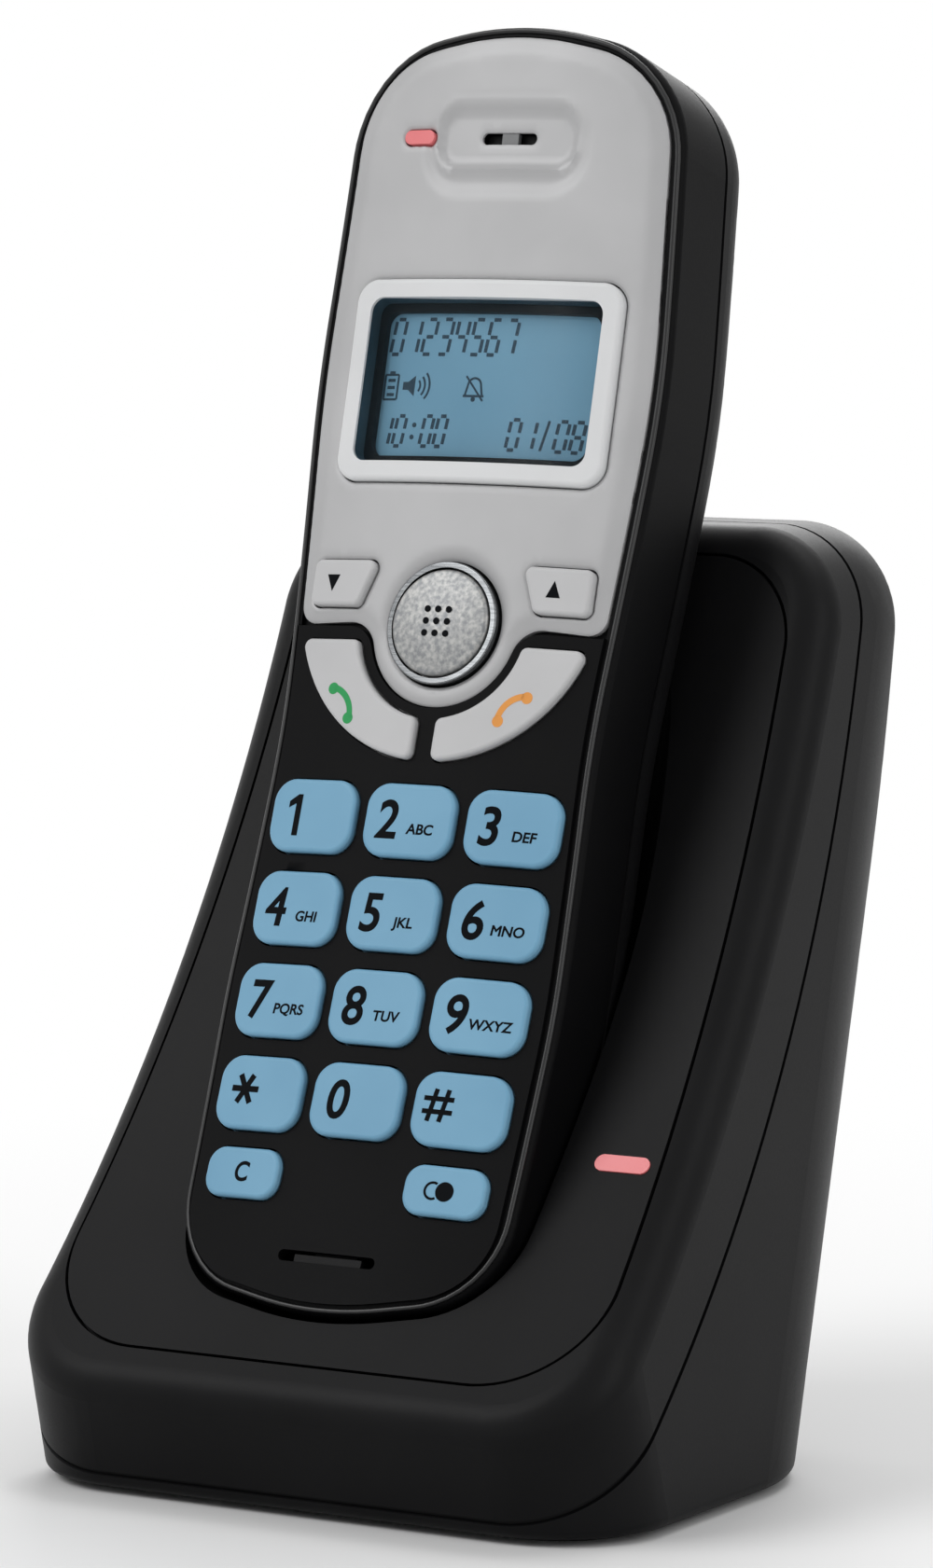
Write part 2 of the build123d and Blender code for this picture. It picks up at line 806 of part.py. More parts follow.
@lru_cache(maxsize=None)
def base_body(inset):
    """The closed base, shrunk by an inset all round."""
    bottom = foot_height + inset
    top = base_top_z - inset
    with BuildPart(mode=Mode.PRIVATE) as body:
        loft([base_outline(0, inset).face(), base_outline(base_reach_z, inset).face()], ruled=True)
        with BuildSketch(side_plane):
            Polygon(
                (-base_reach_z, bottom),
                (rear_wall_y + rear_wall_slope * bottom - inset, bottom),
                (rear_wall_y + rear_wall_slope * top - inset, top),
                (-base_reach_z, top),
                align=None,
            )
        extrude(amount=base_half_width, both=True, mode=Mode.INTERSECT)
        add(drum(panel_centre, panel_radius + inset), mode=Mode.SUBTRACT)
        flat_top = body.faces().filter_by(Axis.Z).sort_by(Axis.Z)[-1]
        top_sides = flat_top.edges().filter_by(lambda edge: abs(edge.center().X) > top_corner_radius)
        fillet(top_sides, top_corner_radius - inset)
        flat_top = body.faces().filter_by(Axis.Z).sort_by(Axis.Z)[-1]
        fillet(flat_top.edges().sort_by(Axis.Y)[-1], rear_top_radius - inset)
        panel = body.faces().sort_by(lambda face: (face.center() - panel_centre).length)[0]
        fillet(panel.edges(), shoulder_radius - inset)
        if not inset:
            desk_face = body.faces().sort_by(Axis.Z)[0]
            fillet(desk_face.edges(), desk_edge_radius)
    return body.part


def panel_outline(inset):
    """Outline of the cradle panel, narrower at its head."""
    length = panel_along.length - inset
    with BuildSketch(panel_plane, mode=Mode.PRIVATE) as outline:
        with BuildLine():
            FilletPolyline(
                (inset - panel_half_width, inset),
                (panel_half_width - inset, inset),
                (panel_half_width_top - inset, length),
                (inset - panel_half_width_top, length),
                radius=[
                    panel_foot_corner - inset,
                    panel_foot_corner - inset,
                    panel_head_corner - inset,
                    panel_head_corner - inset,
                ],
                close=True,
            )
        make_face()
    return outline.sketch


def panel_sheet(outline, low, high):
    """The part of an outline's prism between two depths behind the panel's face."""
    with BuildPart(mode=Mode.PRIVATE) as sheet:
        extrude(outline, amount=form_depth, both=True)
        add(drum(panel_centre, panel_radius + high), mode=Mode.INTERSECT)
        add(drum(panel_centre, panel_radius + low), mode=Mode.SUBTRACT)
    return sheet.part


def pocket_form(grow, reach):
    """The handset's lower half, grown all round and drawn straight up along its axis."""
    right = [(foot_half_width, end_crown_rise), (hip_half_width, hip_v), (hip_half_width, reach)]
    left = [(-u, v) for u, v in reversed(right)]
    mouth = reach + form_depth - handset_length / 2
    with BuildPart(mode=Mode.PRIVATE) as form:
        with BuildSketch(handset_plane):
            Polygon((0, 0), *right, *left, align=None)
            rows = vertices().group_by(Axis.Y)
            fillet(rows[2], flank_radius)
            rows = vertices().group_by(Axis.Y)
            fillet(rows[1], foot_corner_radius)
            rows = vertices().group_by(Axis.Y)
            fillet(rows[0], end_crown_radius)
            offset(amount=grow, kind=Kind.INTERSECTION)
        extrude(amount=form_depth, both=True)
        with BuildSketch(handset_side):
            with Locations((handset_length / 2, back_radius - back_depth)):
                Circle(back_radius + grow)
            with Locations(((handset_length + mouth) / 2, form_depth / 2 - back_depth - grow)):
                Rectangle(mouth, form_depth)
        extrude(amount=form_half_width, both=True, mode=Mode.INTERSECT)
        lowest = form.faces().filter_by(
            lambda face: face.normal_at().dot(handset_plane.z_dir) < -lean_cos
        )
        rims = lowest.edges().filter_by(
            lambda edge: abs(edge.tangent_at(0.5).X) < lean_cos or edge.length < hip_half_width
        )
        fillet(rims, back_edge_radius + grow)
    return form.part


@lru_cache(maxsize=None)
def ring_wall(inset):
    """The base's skin, as thick as an inset."""
    with BuildPart(mode=Mode.PRIVATE) as skin:
        add(base_body(0.0))
        add(base_body(inset), mode=Mode.SUBTRACT)
    return skin.part


def post(x, y, radius, low, high):
    """An upright round piece."""
    with BuildPart(mode=Mode.PRIVATE) as piece:
        with BuildSketch(Plane.XY.offset(low)):
            with Locations((x, y)):
                Circle(radius)
        extrude(amount=high - low)
    return piece.part


def contact_bar(side, gap):
    """Charging contact through the pocket's back wall, or its hole where there is a gap."""
    length, height = contact_size
    u = side * charge_pad_u
    tip = back_level(charge_pad_v) - contact_gap + gap
    tail = back_level(charge_pad_v) - pocket_clearance - pocket_wall - contact_tail - gap
    low = (u - length / 2 - gap, charge_pad_v - height / 2 - gap, tail)
    high = (u + length / 2 + gap, charge_pad_v + height / 2 + gap, tip)
    return block(low, high)


def draw_base_light():
    """Outline of the base's charge light."""
    with Locations((base_light_x, base_light_along)):
        SlotOverall(*base_light_size)


def both_sides(spots):
    """Each spot and its mirror image."""
    return [(side * x, *rest) for x, *rest in spots for side in (-1, 1)]


screw_places = both_sides(base_screws_at)
board_places = both_sides(base_board_posts)
boss_radius = base_screw_head_radius + screw_hole_gap + boss_wall
inner_floor = foot_height + base_wall

with BuildPart() as base_top_cover:
    add(ring_wall(base_wall))
    add(drum(parting_centre, parting_radius - seat_gap), mode=Mode.INTERSECT)
    ledge_top = panel_thickness + seat_gap
    add(panel_sheet(panel_outline(-ledge_root), ledge_top, ledge_top + ledge_thickness))
    add(panel_sheet(panel_outline(ledge_width), -form_depth / 4, form_depth / 4), mode=Mode.SUBTRACT)
    add(panel_sheet(panel_outline(0), -form_depth / 4, ledge_top), mode=Mode.SUBTRACT)

save(base_top_cover, "base_top_cover")

with BuildPart() as cradle_panel:
    add(pocket_form(pocket_clearance + pocket_wall, tub_reach))
    for x, y, split in screw_places:
        add(post(x, y, base_post_radius, split, base_top_z))
    add(drum(panel_centre, panel_radius + panel_thickness / 2), mode=Mode.SUBTRACT)
    add(panel_sheet(panel_outline(panel_gap), 0, panel_thickness))
    add(pocket_form(pocket_clearance, pocket_reach), mode=Mode.SUBTRACT)
    for x, y, split in screw_places:
        add(post(x, y, base_screw_radius + screw_gap, split, split + base_screw_bite), mode=Mode.SUBTRACT)
    for side in (-1, 1):
        add(contact_bar(side, seat_gap), mode=Mode.SUBTRACT)
    light_hole = outline_of(draw_base_light, seat_gap, panel_plane)
    add(panel_sheet(light_hole, -panel_thickness, 2 * panel_thickness), mode=Mode.SUBTRACT)

save(cradle_panel, "cradle_panel")

rear_lean = degrees(atan2(rear_wall_slope, 1))


def rear_plane(x, z):
    """Plane on the rear wall, facing out."""
    with_lean = (0, cos(radians(rear_lean)), -sin(radians(rear_lean)))
    return Plane(origin=(x, rear_wall_y + rear_wall_slope * z, z), x_dir=(-1, 0, 0), z_dir=with_lean)


board_top = base_board_level + base_board_thickness


def jack_body(side, size, gap):
    """Socket body on the board, from the rear wall inwards, or its cut-out where there is a gap."""
    width, height, depth = size
    low = board_top + seat_gap
    wall_y = rear_wall_y + rear_wall_slope * low
    with BuildPart(mode=Mode.PRIVATE) as body:
        with BuildSketch(Plane.XY.offset(low - gap)):
            with Locations((side * jack_spread, wall_y)):
                Rectangle(width + 2 * gap, 2 * (depth + gap))
        extrude(amount=height + 2 * gap)
        if not gap:
            add(base_body(jack_sink), mode=Mode.INTERSECT)
    return body.part


jack_gap = 4 * seat_gap
page_plane = rear_plane(0, page_level)

with BuildPart() as base_lower_housing:
    add(ring_wall(base_wall))
    add(drum(parting_centre, parting_radius), mode=Mode.SUBTRACT)
    with BuildPart(mode=Mode.PRIVATE) as seam:
        add(ring_wall(jack_sink))
        add(drum(parting_centre, parting_radius + seam_width), mode=Mode.INTERSECT)
    add(seam.part, mode=Mode.SUBTRACT)
    for x, y in board_places:
        add(post(x, y, base_post_radius, inner_floor - base_wall / 2, base_board_level - seat_gap))
    for x, y, split in screw_places:
        add(post(x, y, boss_radius, inner_floor - base_wall / 2, split - seat_gap))
    for x, y, split in screw_places:
        add(post(x, y, base_screw_radius + screw_hole_gap, 0, split), mode=Mode.SUBTRACT)
        seat = split - base_screw_grip
        add(post(x, y, base_screw_head_radius + screw_hole_gap, 0, seat), mode=Mode.SUBTRACT)
    add(jack_body(-1, line_jack_size, jack_gap), mode=Mode.SUBTRACT)
    add(jack_body(1, power_jack_size, jack_gap), mode=Mode.SUBTRACT)
    with BuildSketch(page_plane):
        Circle(page_radius + page_gap)
    extrude(amount=base_wall, both=True, mode=Mode.SUBTRACT)
    switch_seat = base_wall + page_gap + page_flange_thickness + page_travel + mat_gap
    with BuildSketch(page_plane.offset(-switch_seat)):
        for side in (-1, 1):
            with Locations((side * switch_post_x, 0)):
                Rectangle(*switch_post_size)
    extrude(amount=switch_seat - base_wall / 2)

save(base_lower_housing, "base_lower_housing")

with BuildPart() as page_button:
    button_root = base_wall + page_gap + page_flange_thickness
    with BuildSketch(page_plane.offset(-button_root)):
        Circle(page_radius)
    extrude(amount=button_root + page_rise)
    fillet(page_button.edges().sort_by(Axis(page_plane.origin, page_plane.z_dir))[-1], page_edge_radius)
    with BuildSketch(page_plane.offset(-button_root)):
        Circle(page_radius + page_flange)
    extrude(amount=page_flange_thickness)

save(page_button, "page_button")

with BuildPart() as page_switch:
    with BuildSketch(page_plane.offset(-switch_seat - seat_gap)):
        Rectangle(2 * switch_post_x + switch_post_size[0], switch_size[1])
    extrude(amount=-switch_thickness)

save(page_switch, "page_switch")

with BuildPart() as line_jack:
    add(jack_body(-1, line_jack_size, 0.0))
    mouth_width, mouth_height, mouth_depth = line_jack_mouth
    mouth_z = board_top + seat_gap + line_jack_size[1] / 2
    with BuildSketch(Plane.XY.offset(mouth_z - mouth_height / 2)):
        with Locations((-jack_spread, rear_wall_y + rear_wall_slope * mouth_z)):
            Rectangle(mouth_width, 2 * mouth_depth)
    extrude(amount=mouth_height, mode=Mode.SUBTRACT)

save(line_jack, "line_jack")

with BuildPart() as power_jack:
    add(jack_body(1, power_jack_size, 0.0))
    bore_z = board_top + seat_gap + power_jack_size[1] / 2
    bore_y = rear_wall_y + rear_wall_slope * bore_z
    with BuildSketch(Plane(origin=(jack_spread, bore_y, bore_z), x_dir=(-1, 0, 0), z_dir=(0, 1, 0))):
        Circle(power_jack_bore)
        Circle(power_jack_pin, mode=Mode.SUBTRACT)
    extrude(amount=power_jack_bore_depth, both=True, mode=Mode.SUBTRACT)

save(power_jack, "power_jack")

with BuildPart() as base_board:
    with BuildSketch(Plane.XY.offset(base_board_level)):
        with Locations((0, (base_board_front + base_board_rear) / 2)):
            Rectangle(2 * base_board_half_width, base_board_rear - base_board_front)
    extrude(amount=base_board_thickness)
    fillet(base_board.edges().filter_by(Axis.Z), base_board_thickness)

save(base_board, "base_board")

with BuildPart() as base_charge_contacts:
    for side in (-1, 1):
        add(contact_bar(side, 0.0))

save(base_charge_contacts, "base_charge_contacts")

with BuildPart() as base_light_lens:
    add(panel_sheet(outline_of(draw_base_light, on=panel_plane), -base_light_rise, panel_thickness))

save(base_light_lens, "base_light_lens")

with BuildPart() as base_screws:
    for x, y, split in screw_places:
        seat = split - base_screw_grip
        add(post(x, y, base_screw_head_radius, seat - base_screw_head_height, seat))
        add(post(x, y, base_screw_radius, seat, split + base_screw_bite - seat_gap))

save(base_screws, "base_screws")

with BuildPart() as base_foot_ring:
    extrude(base_outline(0, foot_inset), amount=foot_height)
    extrude(base_outline(0, foot_inset + foot_width), amount=foot_height, mode=Mode.SUBTRACT)

save(base_foot_ring, "base_foot_ring")
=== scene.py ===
import json
from math import asin, ceil, cos, degrees, hypot, pi, radians, sin, sqrt, tan

import bpy
from mathutils import Matrix, Vector
from mathutils.geometry import delaunay_2d_cdt
from mathutils.kdtree import KDTree


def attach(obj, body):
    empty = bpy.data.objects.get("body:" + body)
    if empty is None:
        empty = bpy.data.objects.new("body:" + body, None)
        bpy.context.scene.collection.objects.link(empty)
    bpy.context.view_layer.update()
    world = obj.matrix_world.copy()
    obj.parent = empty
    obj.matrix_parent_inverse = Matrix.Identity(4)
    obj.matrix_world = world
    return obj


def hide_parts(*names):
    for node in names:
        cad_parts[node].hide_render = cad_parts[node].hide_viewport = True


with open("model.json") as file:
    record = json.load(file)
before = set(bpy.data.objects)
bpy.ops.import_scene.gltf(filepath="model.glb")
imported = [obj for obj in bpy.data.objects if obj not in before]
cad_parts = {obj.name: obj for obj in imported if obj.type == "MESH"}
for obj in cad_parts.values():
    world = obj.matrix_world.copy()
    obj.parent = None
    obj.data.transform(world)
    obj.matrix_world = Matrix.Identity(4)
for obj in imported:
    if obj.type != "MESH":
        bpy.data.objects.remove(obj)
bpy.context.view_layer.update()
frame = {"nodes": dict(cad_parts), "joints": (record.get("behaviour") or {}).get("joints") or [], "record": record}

# Sizes below are in millimetres, as on the real object; MM turns them into scene units.
MM = 0.001

# Handset frame: u across, v along from the foot, w out of the face
handset_foot = Vector((0, -24.6, 21.8))
bend_radius = 680.0
bend_v = 78.0
crown_radius = 150.0
lift = next(joint for joint in frame["joints"] if joint["name"] == "handset_lift")
along = Vector(lift["axis"]).normalized()
across = Vector((1, 0, 0))
outward = across.cross(along)

# Front outline of the handset: right side from the foot up, with the rounding of its corners
handset_flank = [(23.0, 4.5), (23.9, 40.0), (22.5, 74.0), (25.2, 117.0), (23.2, 158.5)]
flank_radii = [12.0, 160.0, 160.0, 160.0, 15.0]
handset_length = 163.0
end_crown_radius = 45.0

# Levels above the handset's face
key_top = 0.9
plate_top = 0.25
arrow_top = plate_top + key_top
lcd_top = -2.25
ink_sink = 0.02
ink_rise = 0.03

# Places on the handset
digit_pitch_u = 14.2
digit_pitch_v = 11.65
digit_first_v = 62.2
function_u = 14.3
function_v = 17.3
menu_v = 87.0
arrow_v = 91.7
display_v = 117.4
earpiece_v = 148.0

# Bead along the rim of the handset's front
bead_inset = 0.75
bead_radius = 0.36
bead_level = -0.66
bead_sides = 10
bead_step = 1.5

# Bar in the microphone slot and bridge in the earpiece slot
mic_bar_at = (0.1, 7.6)
mic_bar_size = (9.4, 0.9, 0.1)
mic_bar_low = -1.1
mic_bar_high = -0.3
bridge_size = (2.3, 1.5, 0.1)
bridge_low = -1.7
bridge_high = -0.95

# Silver faceplate: the head of the handset's outline, moved in from its edge
plate_inset = 1.7
plate_low_v = 86.6
plate_low_corner = 2.4
plate_floor = -1.15
apron_radius = 10.3
apron_fillet = 4.0
bezel_hole = (38.4, 25.8, 3.2)
light_hole = (4.9, 2.2, 1.1)
light_u = -12.6
ear_slot = (7.8, 1.5, 0.75)
ring_hole_radius = 7.95
arrow_hole = [(10.3, 94.6), (12.5, 88.8), (19.8, 88.8), (19.8, 94.6)]
arrow_hole_gap = 0.25
arrow_hole_corner = 1.25

# Relief of the faceplate
border_width = 2.3
border_drop = 0.45
lip_width = 0.45
lip_drop = 0.16
dish_v = 146.9
dish_size = (24.0, 13.0, 5.8)
dish_slope = 1.7
dish_depth = 0.42
cup_size = (20.4, 8.2, 3.3)
cup_slope = 1.2
cup_depth = 0.45
ridge_half_width = 1.0
ridge_height = 0.34
hollow_width = 1.6
hollow_depth = 0.35

# Fineness of the faceplate's mesh: rows beside its edges, and a grid over the rest
border_rows = (0, 0.2, 0.45, 0.9, 1.4, 1.9)
hole_rows = (0, 0.2, 0.45)
plate_grid = 0.7
grid_clearance = 0.4
grid_low_u = -25
grid_low_v = 76
grid_width = 50
grid_height = 90
search_step = 0.15
sharp_angle = 40

# Painted shade in the display's window: a thin dark blue-grey band up its walls stands in for the bezel's shadow
# on the display
window_size = (33.2, 20.6, 1.8)
window_shade_width = 0.15
window_shade_low = -2.15
window_shade_high = 0.7

# Lettering: height, share of the width, and boldness of the strokes
letter_slant = 0.08
digit_style = (6.7, 0.94, 0.13)
letter_style = (1.8, 1.05, 0.045)
clear_style = (3.4, 0.9, 0.08)

# Legends of the number keys, from the middle of each key
number_keys = ["1", "2", "3", "4", "5", "6", "7", "8", "9", "star", "0", "hash"]
letters = {
    "2": "ABC", "3": "DEF", "4": "GHI", "5": "JKL",
    "6": "MNO", "7": "PQRS", "8": "TUV", "9": "WXYZ",
}
digit_shift = -2.9
lone_digit_shift = -2.5
digit_lift = -0.25
letter_shift = 1.9
letter_lift = -1.1
one_outline = [
    (-0.1, -2.6), (0.75, -2.6), (0.75, 2.6), (0.1, 2.6),
    (-1.15, 1.7), (-1.15, 0.9), (-0.1, 1.45),
]

# Star and hash signs, in the last row of the number keys
last_row_v = digit_first_v - 3 * digit_pitch_v + 0.4
star_u = -digit_pitch_u - 2.1
star_arm = 2.0
star_stroke = 0.75
hash_u = digit_pitch_u - 2.8
hash_arm = 2.0
hash_stroke = 0.6
hash_half_gap = 0.8
hash_lean = 0.35

# Redial sign: an open ring beside a dot
redial_ring_u = function_u - 1.4
redial_ring_radius = 1.0
redial_stroke = 0.3
redial_dot_u = function_u + 0.2
redial_dot_radius = 1.2

# Arrow signs: place across and the way that they point
arrow_marks = {"key_down": (-16.6, -1), "key_up": (15.0, 1)}
arrow_half = 0.95
arrow_tip = 1.2
arrow_foot = 0.9

# Receiver signs of the talk and end keys: a curved grip with a pad at each end
talk_sign_at = (-12.1, 76.9)
talk_sign_turn = -52
end_sign_at = (11.3, 77.3)
end_sign_turn = 42
grip_radius = 3.6
grip_drop = 3.3
grip_stroke = 0.8
grip_ends = (50, 130)
grip_pad_radius = 0.74
grip_pad_drop = 0.2

# Menu sign: nine dots that follow the key's dome
menu_dome_top = 1.85
menu_dome_radius = 32.4
dot_pitch = 1.5
dot_radius = 0.42

# Digits in the display: which of their seven strokes each one shows
segment_lines = {
    "a": ((0, 2), (1, 2)),
    "b": ((1, 2), (1, 1)),
    "c": ((1, 1), (1, 0)),
    "d": ((0, 0), (1, 0)),
    "e": ((0, 1), (0, 0)),
    "f": ((0, 2), (0, 1)),
    "g": ((0, 1), (1, 1)),
}
segment_sets = {
    "0": "abcdef",
    "1": "bc",
    "2": "abged",
    "3": "abgcd",
    "4": "fgbc",
    "5": "afgcd",
    "6": "afgedc",
    "7": "abc",
    "8": "abcdefg",
}
segment_slant = 0.12
segment_width = 0.46
segment_gap = 0.1
colon_shares = (0.3, 0.7)
colon_radius = 0.32
slash_shares = (0.3, 0.9)
slash_width = 0.8 * segment_width

# Lines of digits: left end, height over the display's middle, digit width, digit height, pitch
display_lines = {
    "01234567": (-15.0, 4.0, 1.55, 4.4, 2.35),
    "10:00": (-15.0, -7.6, 1.35, 3.8, 2.05),
    "01/08": (3.7, -7.8, 1.45, 3.8, 2.2),
}
battery_u = -14.2
speaker_u = -10.6
bell_u = -1.8
bell_drop = 0.2
icon_stroke = 0.28

# Camera, fitted to the photograph's 1000 by 1681 frame
image_height_px = 1681
focal_px = 7050
sensor_mm = 36.0
camera_place = Vector((415.12, -683.8, 166.57))
camera_forward = Vector((-0.5124, 0.8528, -0.1011))

# Floor and surround
floor_half = 6000
floor_tone = 0.86
floor_roughness = 0.8
floor_fade = (100, 300)
surround_strength = 0.36

# Lamps: place, target, size and power
lamps = {
    "key_lamp": ((-750, -900, 1100), (0, 0, 100), (900, 900), 8.8),
    "side_lamp": ((1100, -150, 550), (0, 0, 80), (350, 900), 2.7),
    "top_lamp": ((100, 400, 1200), (0, 0, 100), (900, 600), 4.2),
    "head_lamp": ((-200, -360, 460), (0, 20, 170), (200, 200), 0.17),
    "rear_lamp": ((-500, 1200, 700), (0, 0, 100), (800, 800), 6.0),
}

# Materials: size and height of the grains
moulded_grain = (0.25, 0.01)
shell_grain = (0.3, 0.012)
lacquer_grain = (0.12, 0.004)
key_grain = (0.2, 0.004)
ink_grain = (0.25, 0.002)

# Materials: drift of the tones, strength of the relief, scratches in metal
cloud_size = 18.0
tone_positions = (0.35, 0.65)
bump_strength = 0.5
scratch_scale = (150, 4000, 4000)
scratch_height = 0.004


def face_point(u, v, level):
    """Place on the handset's crowned and dished face, raised by a level."""
    crown = sqrt((crown_radius + level) ** 2 - u**2) - crown_radius
    w = bend_radius - sqrt((bend_radius - crown) ** 2 - (v - bend_v) ** 2)
    return (handset_foot + across * u + along * v + outward * w) * MM


# Materials


def linear(red, green, blue):
    """Scene colour of a colour that is written as it looks, from 0 to 255."""
    shares = [channel / 255 for channel in (red, green, blue)]
    return tuple(x / 12.92 if x <= 0.04045 else ((x + 0.055) / 1.055) ** 2.4 for x in shares) + (1.0,)


def link(tree, source, output, target, socket):
    """Joins one node's output to another node's input."""
    tree.links.new(source.outputs[output], target.inputs[socket])


def new_material(name):
    """An empty node material and its surface shader."""
    material = bpy.data.materials.new(name)
    material.use_nodes = True
    return material, material.node_tree, material.node_tree.nodes["Principled BSDF"]


def add_noise(tree, size_mm, detail):
    """Noise in the object's own space, with features of a size."""
    place = tree.nodes.new("ShaderNodeTexCoord")
    noise = tree.nodes.new("ShaderNodeTexNoise")
    noise.inputs["Scale"].default_value = 1 / (size_mm * MM)
    noise.inputs["Detail"].default_value = detail
    link(tree, place, "Object", noise, "Vector")
    return noise


def vary_colour(tree, shader, noise, dark, light):
    """Base colour that drifts between two tones."""
    ramp = tree.nodes.new("ShaderNodeValToRGB")
    for element, position, tone in zip(ramp.color_ramp.elements, tone_positions, (dark, light)):
        element.position = position
        element.color = linear(*tone)
    link(tree, noise, "Fac", ramp, "Fac")
    link(tree, ramp, "Color", shader, "Base Color")


def vary_roughness(tree, shader, noise, low, high):
    """Roughness that drifts between two values."""
    spread = tree.nodes.new("ShaderNodeMapRange")
    spread.inputs["To Min"].default_value = low
    spread.inputs["To Max"].default_value = high
    link(tree, noise, "Fac", spread, "Value")
    link(tree, spread, "Result", shader, "Roughness")


def add_bump(tree, shader, noise, height_mm):
    """Fine relief from a noise."""
    bump = tree.nodes.new("ShaderNodeBump")
    bump.inputs["Strength"].default_value = bump_strength
    bump.inputs["Distance"].default_value = height_mm * MM
    link(tree, noise, "Fac", bump, "Height")
    link(tree, bump, "Normal", shader, "Normal")


def plastic(
    name, dark, light, roughness, grain=moulded_grain, metallic=0.0, gloss=0.5, cloud_mm=cloud_size
):
    """Moulded or lacquered plastic with a drifting tone and a fine grain."""
    material, tree, shader = new_material(name)
    shader.inputs["Metallic"].default_value = metallic
    shader.inputs["Specular IOR Level"].default_value = gloss
    grain_mm, grain_height = grain
    clouds = add_noise(tree, cloud_mm, 3.0)
    fine = add_noise(tree, grain_mm, 2.0)
    vary_colour(tree, shader, clouds, dark, light)
    vary_roughness(tree, shader, fine, *roughness)
    add_bump(tree, shader, fine, grain_height)
    return material


def light_lens(name, dark, light, glow):
    """Tinted lens of an indicator that is lit."""
    material = plastic(name, dark, light, (0.2, 0.3))
    shader = material.node_tree.nodes["Principled BSDF"]
    shader.inputs["Emission Color"].default_value = linear(*light)
    shader.inputs["Emission Strength"].default_value = glow
    return material


def clear_lens(name):
    """Thin clear window that mostly lets the display show."""
    material, tree, shader = new_material(name)
    smears = add_noise(tree, 9.0, 4.0)
    vary_colour(tree, shader, smears, (52, 70, 80), (66, 84, 94))
    vary_roughness(tree, shader, smears, 0.05, 0.1)
    shader.inputs["Specular IOR Level"].default_value = 0.3
    shader.inputs["Alpha"].default_value = 0.08
    return material


def brushed(name, dark, light, roughness):
    """Metal with fine scratches that run across the handset."""
    material, tree, shader = new_material(name)
    shader.inputs["Metallic"].default_value = 1.0
    place = tree.nodes.new("ShaderNodeTexCoord")
    stretch = tree.nodes.new("ShaderNodeMapping")
    stretch.inputs["Scale"].default_value = scratch_scale
    scratches = tree.nodes.new("ShaderNodeTexNoise")
    scratches.inputs["Scale"].default_value = 1.0
    scratches.inputs["Detail"].default_value = 4.0
    link(tree, place, "Object", stretch, "Vector")
    link(tree, stretch, "Vector", scratches, "Vector")
    vary_colour(tree, shader, scratches, dark, light)
    vary_roughness(tree, shader, scratches, *roughness)
    add_bump(tree, shader, scratches, scratch_height)
    return material


# One finish for each material slot of the record
finishes = {
    "black_plastic": plastic(
        "black_plastic", (12, 12, 13), (16, 16, 17), (0.38, 0.5), shell_grain, gloss=0.1
    ),
    "silver_plastic": plastic(
        "silver_plastic", (173, 173, 174), (180, 180, 181), (0.4, 0.5), lacquer_grain,
        metallic=0.15, gloss=0.3,
    ),
    "pale_plastic": plastic(
        "pale_plastic", (218, 219, 220), (224, 225, 226), (0.34, 0.44), (0.12, 0.003), gloss=0.3
    ),
    "clear_plastic": clear_lens("clear_plastic"),
    "lcd_glass": plastic(
        "lcd_glass", (120, 171, 200), (127, 178, 206), (0.4, 0.55), (0.2, 0.002), gloss=0.2
    ),
    "red_lens": light_lens("red_lens", (214, 104, 108), (224, 122, 124), 0.12),
    "dark_moulding": plastic("dark_moulding", (12, 12, 13), (17, 17, 18), (0.5, 0.65), gloss=0.2),
    "circuit_board": plastic("circuit_board", (20, 78, 40), (28, 92, 48), (0.35, 0.5)),
    "plated_steel": brushed("plated_steel", (168, 165, 156), (190, 187, 178), (0.2, 0.35)),
    "cell_sleeve": plastic("cell_sleeve", (34, 98, 62), (44, 112, 72), (0.25, 0.35)),
    "grey_rubber": plastic("grey_rubber", (66, 67, 68), (76, 77, 78), (0.6, 0.75), gloss=0.25),
    "black_rubber": plastic("black_rubber", (20, 20, 20), (26, 26, 26), (0.65, 0.8), gloss=0.2),
    "chrome_trim": brushed("chrome_trim", (98, 100, 102), (124, 126, 128), (0.1, 0.18)),
    "grey_key": plastic("grey_key", (193, 193, 194), (200, 200, 201), (0.42, 0.52), key_grain, gloss=0.3),
    "blue_key": plastic("blue_key", (113, 163, 193), (121, 171, 200), (0.4, 0.5), key_grain, gloss=0.3),
}

# Finishes of single pieces
metal_cap = plastic(
    "metal_cap", (122, 124, 126), (160, 160, 158), (0.42, 0.58), (0.22, 0.012),
    metallic=0.75, gloss=0.4, cloud_mm=0.6,
)
handset_black = plastic("handset_black", (6, 6, 7), (9, 9, 10), (0.42, 0.55), shell_grain, gloss=0.06)
rim_black = plastic("rim_black", (16, 16, 17), (21, 21, 22), (0.3, 0.4), (0.3, 0.004), gloss=0.4)
bridge_grey = plastic("bridge_grey", (96, 97, 98), (116, 117, 118), (0.4, 0.5))
# Dark blue-grey for the display window's walls: painted shade, standing in for the bezel's shadow on the display
lcd_painted_shade = plastic("lcd_painted_shade", (40, 62, 74), (48, 72, 85), (0.5, 0.65), (0.25, 0.004), gloss=0.1)
lcd_ink = plastic("lcd_ink", (36, 60, 76), (44, 70, 87), (0.5, 0.6), ink_grain, gloss=0.2)
black_ink = plastic("black_ink", (5, 7, 10), (9, 11, 14), (0.55, 0.7), ink_grain, gloss=0.05)
green_ink = plastic("green_ink", (44, 148, 84), (54, 160, 92), (0.5, 0.65), ink_grain, gloss=0.2)
orange_ink = plastic("orange_ink", (228, 152, 76), (236, 164, 88), (0.5, 0.65), ink_grain, gloss=0.2)

for part in frame["record"]["subparts"]:
    node = frame["nodes"][part["node"]]
    node.data.materials.clear()
    node.data.materials.append(finishes[part["material_slot"]])
    for polygon in node.data.polygons:
        polygon.use_smooth = True
frame["nodes"]["menu_key"].data.materials[0] = metal_cap
frame["nodes"]["handset_front_shell"].data.materials[0] = handset_black


# Pieces from outlines


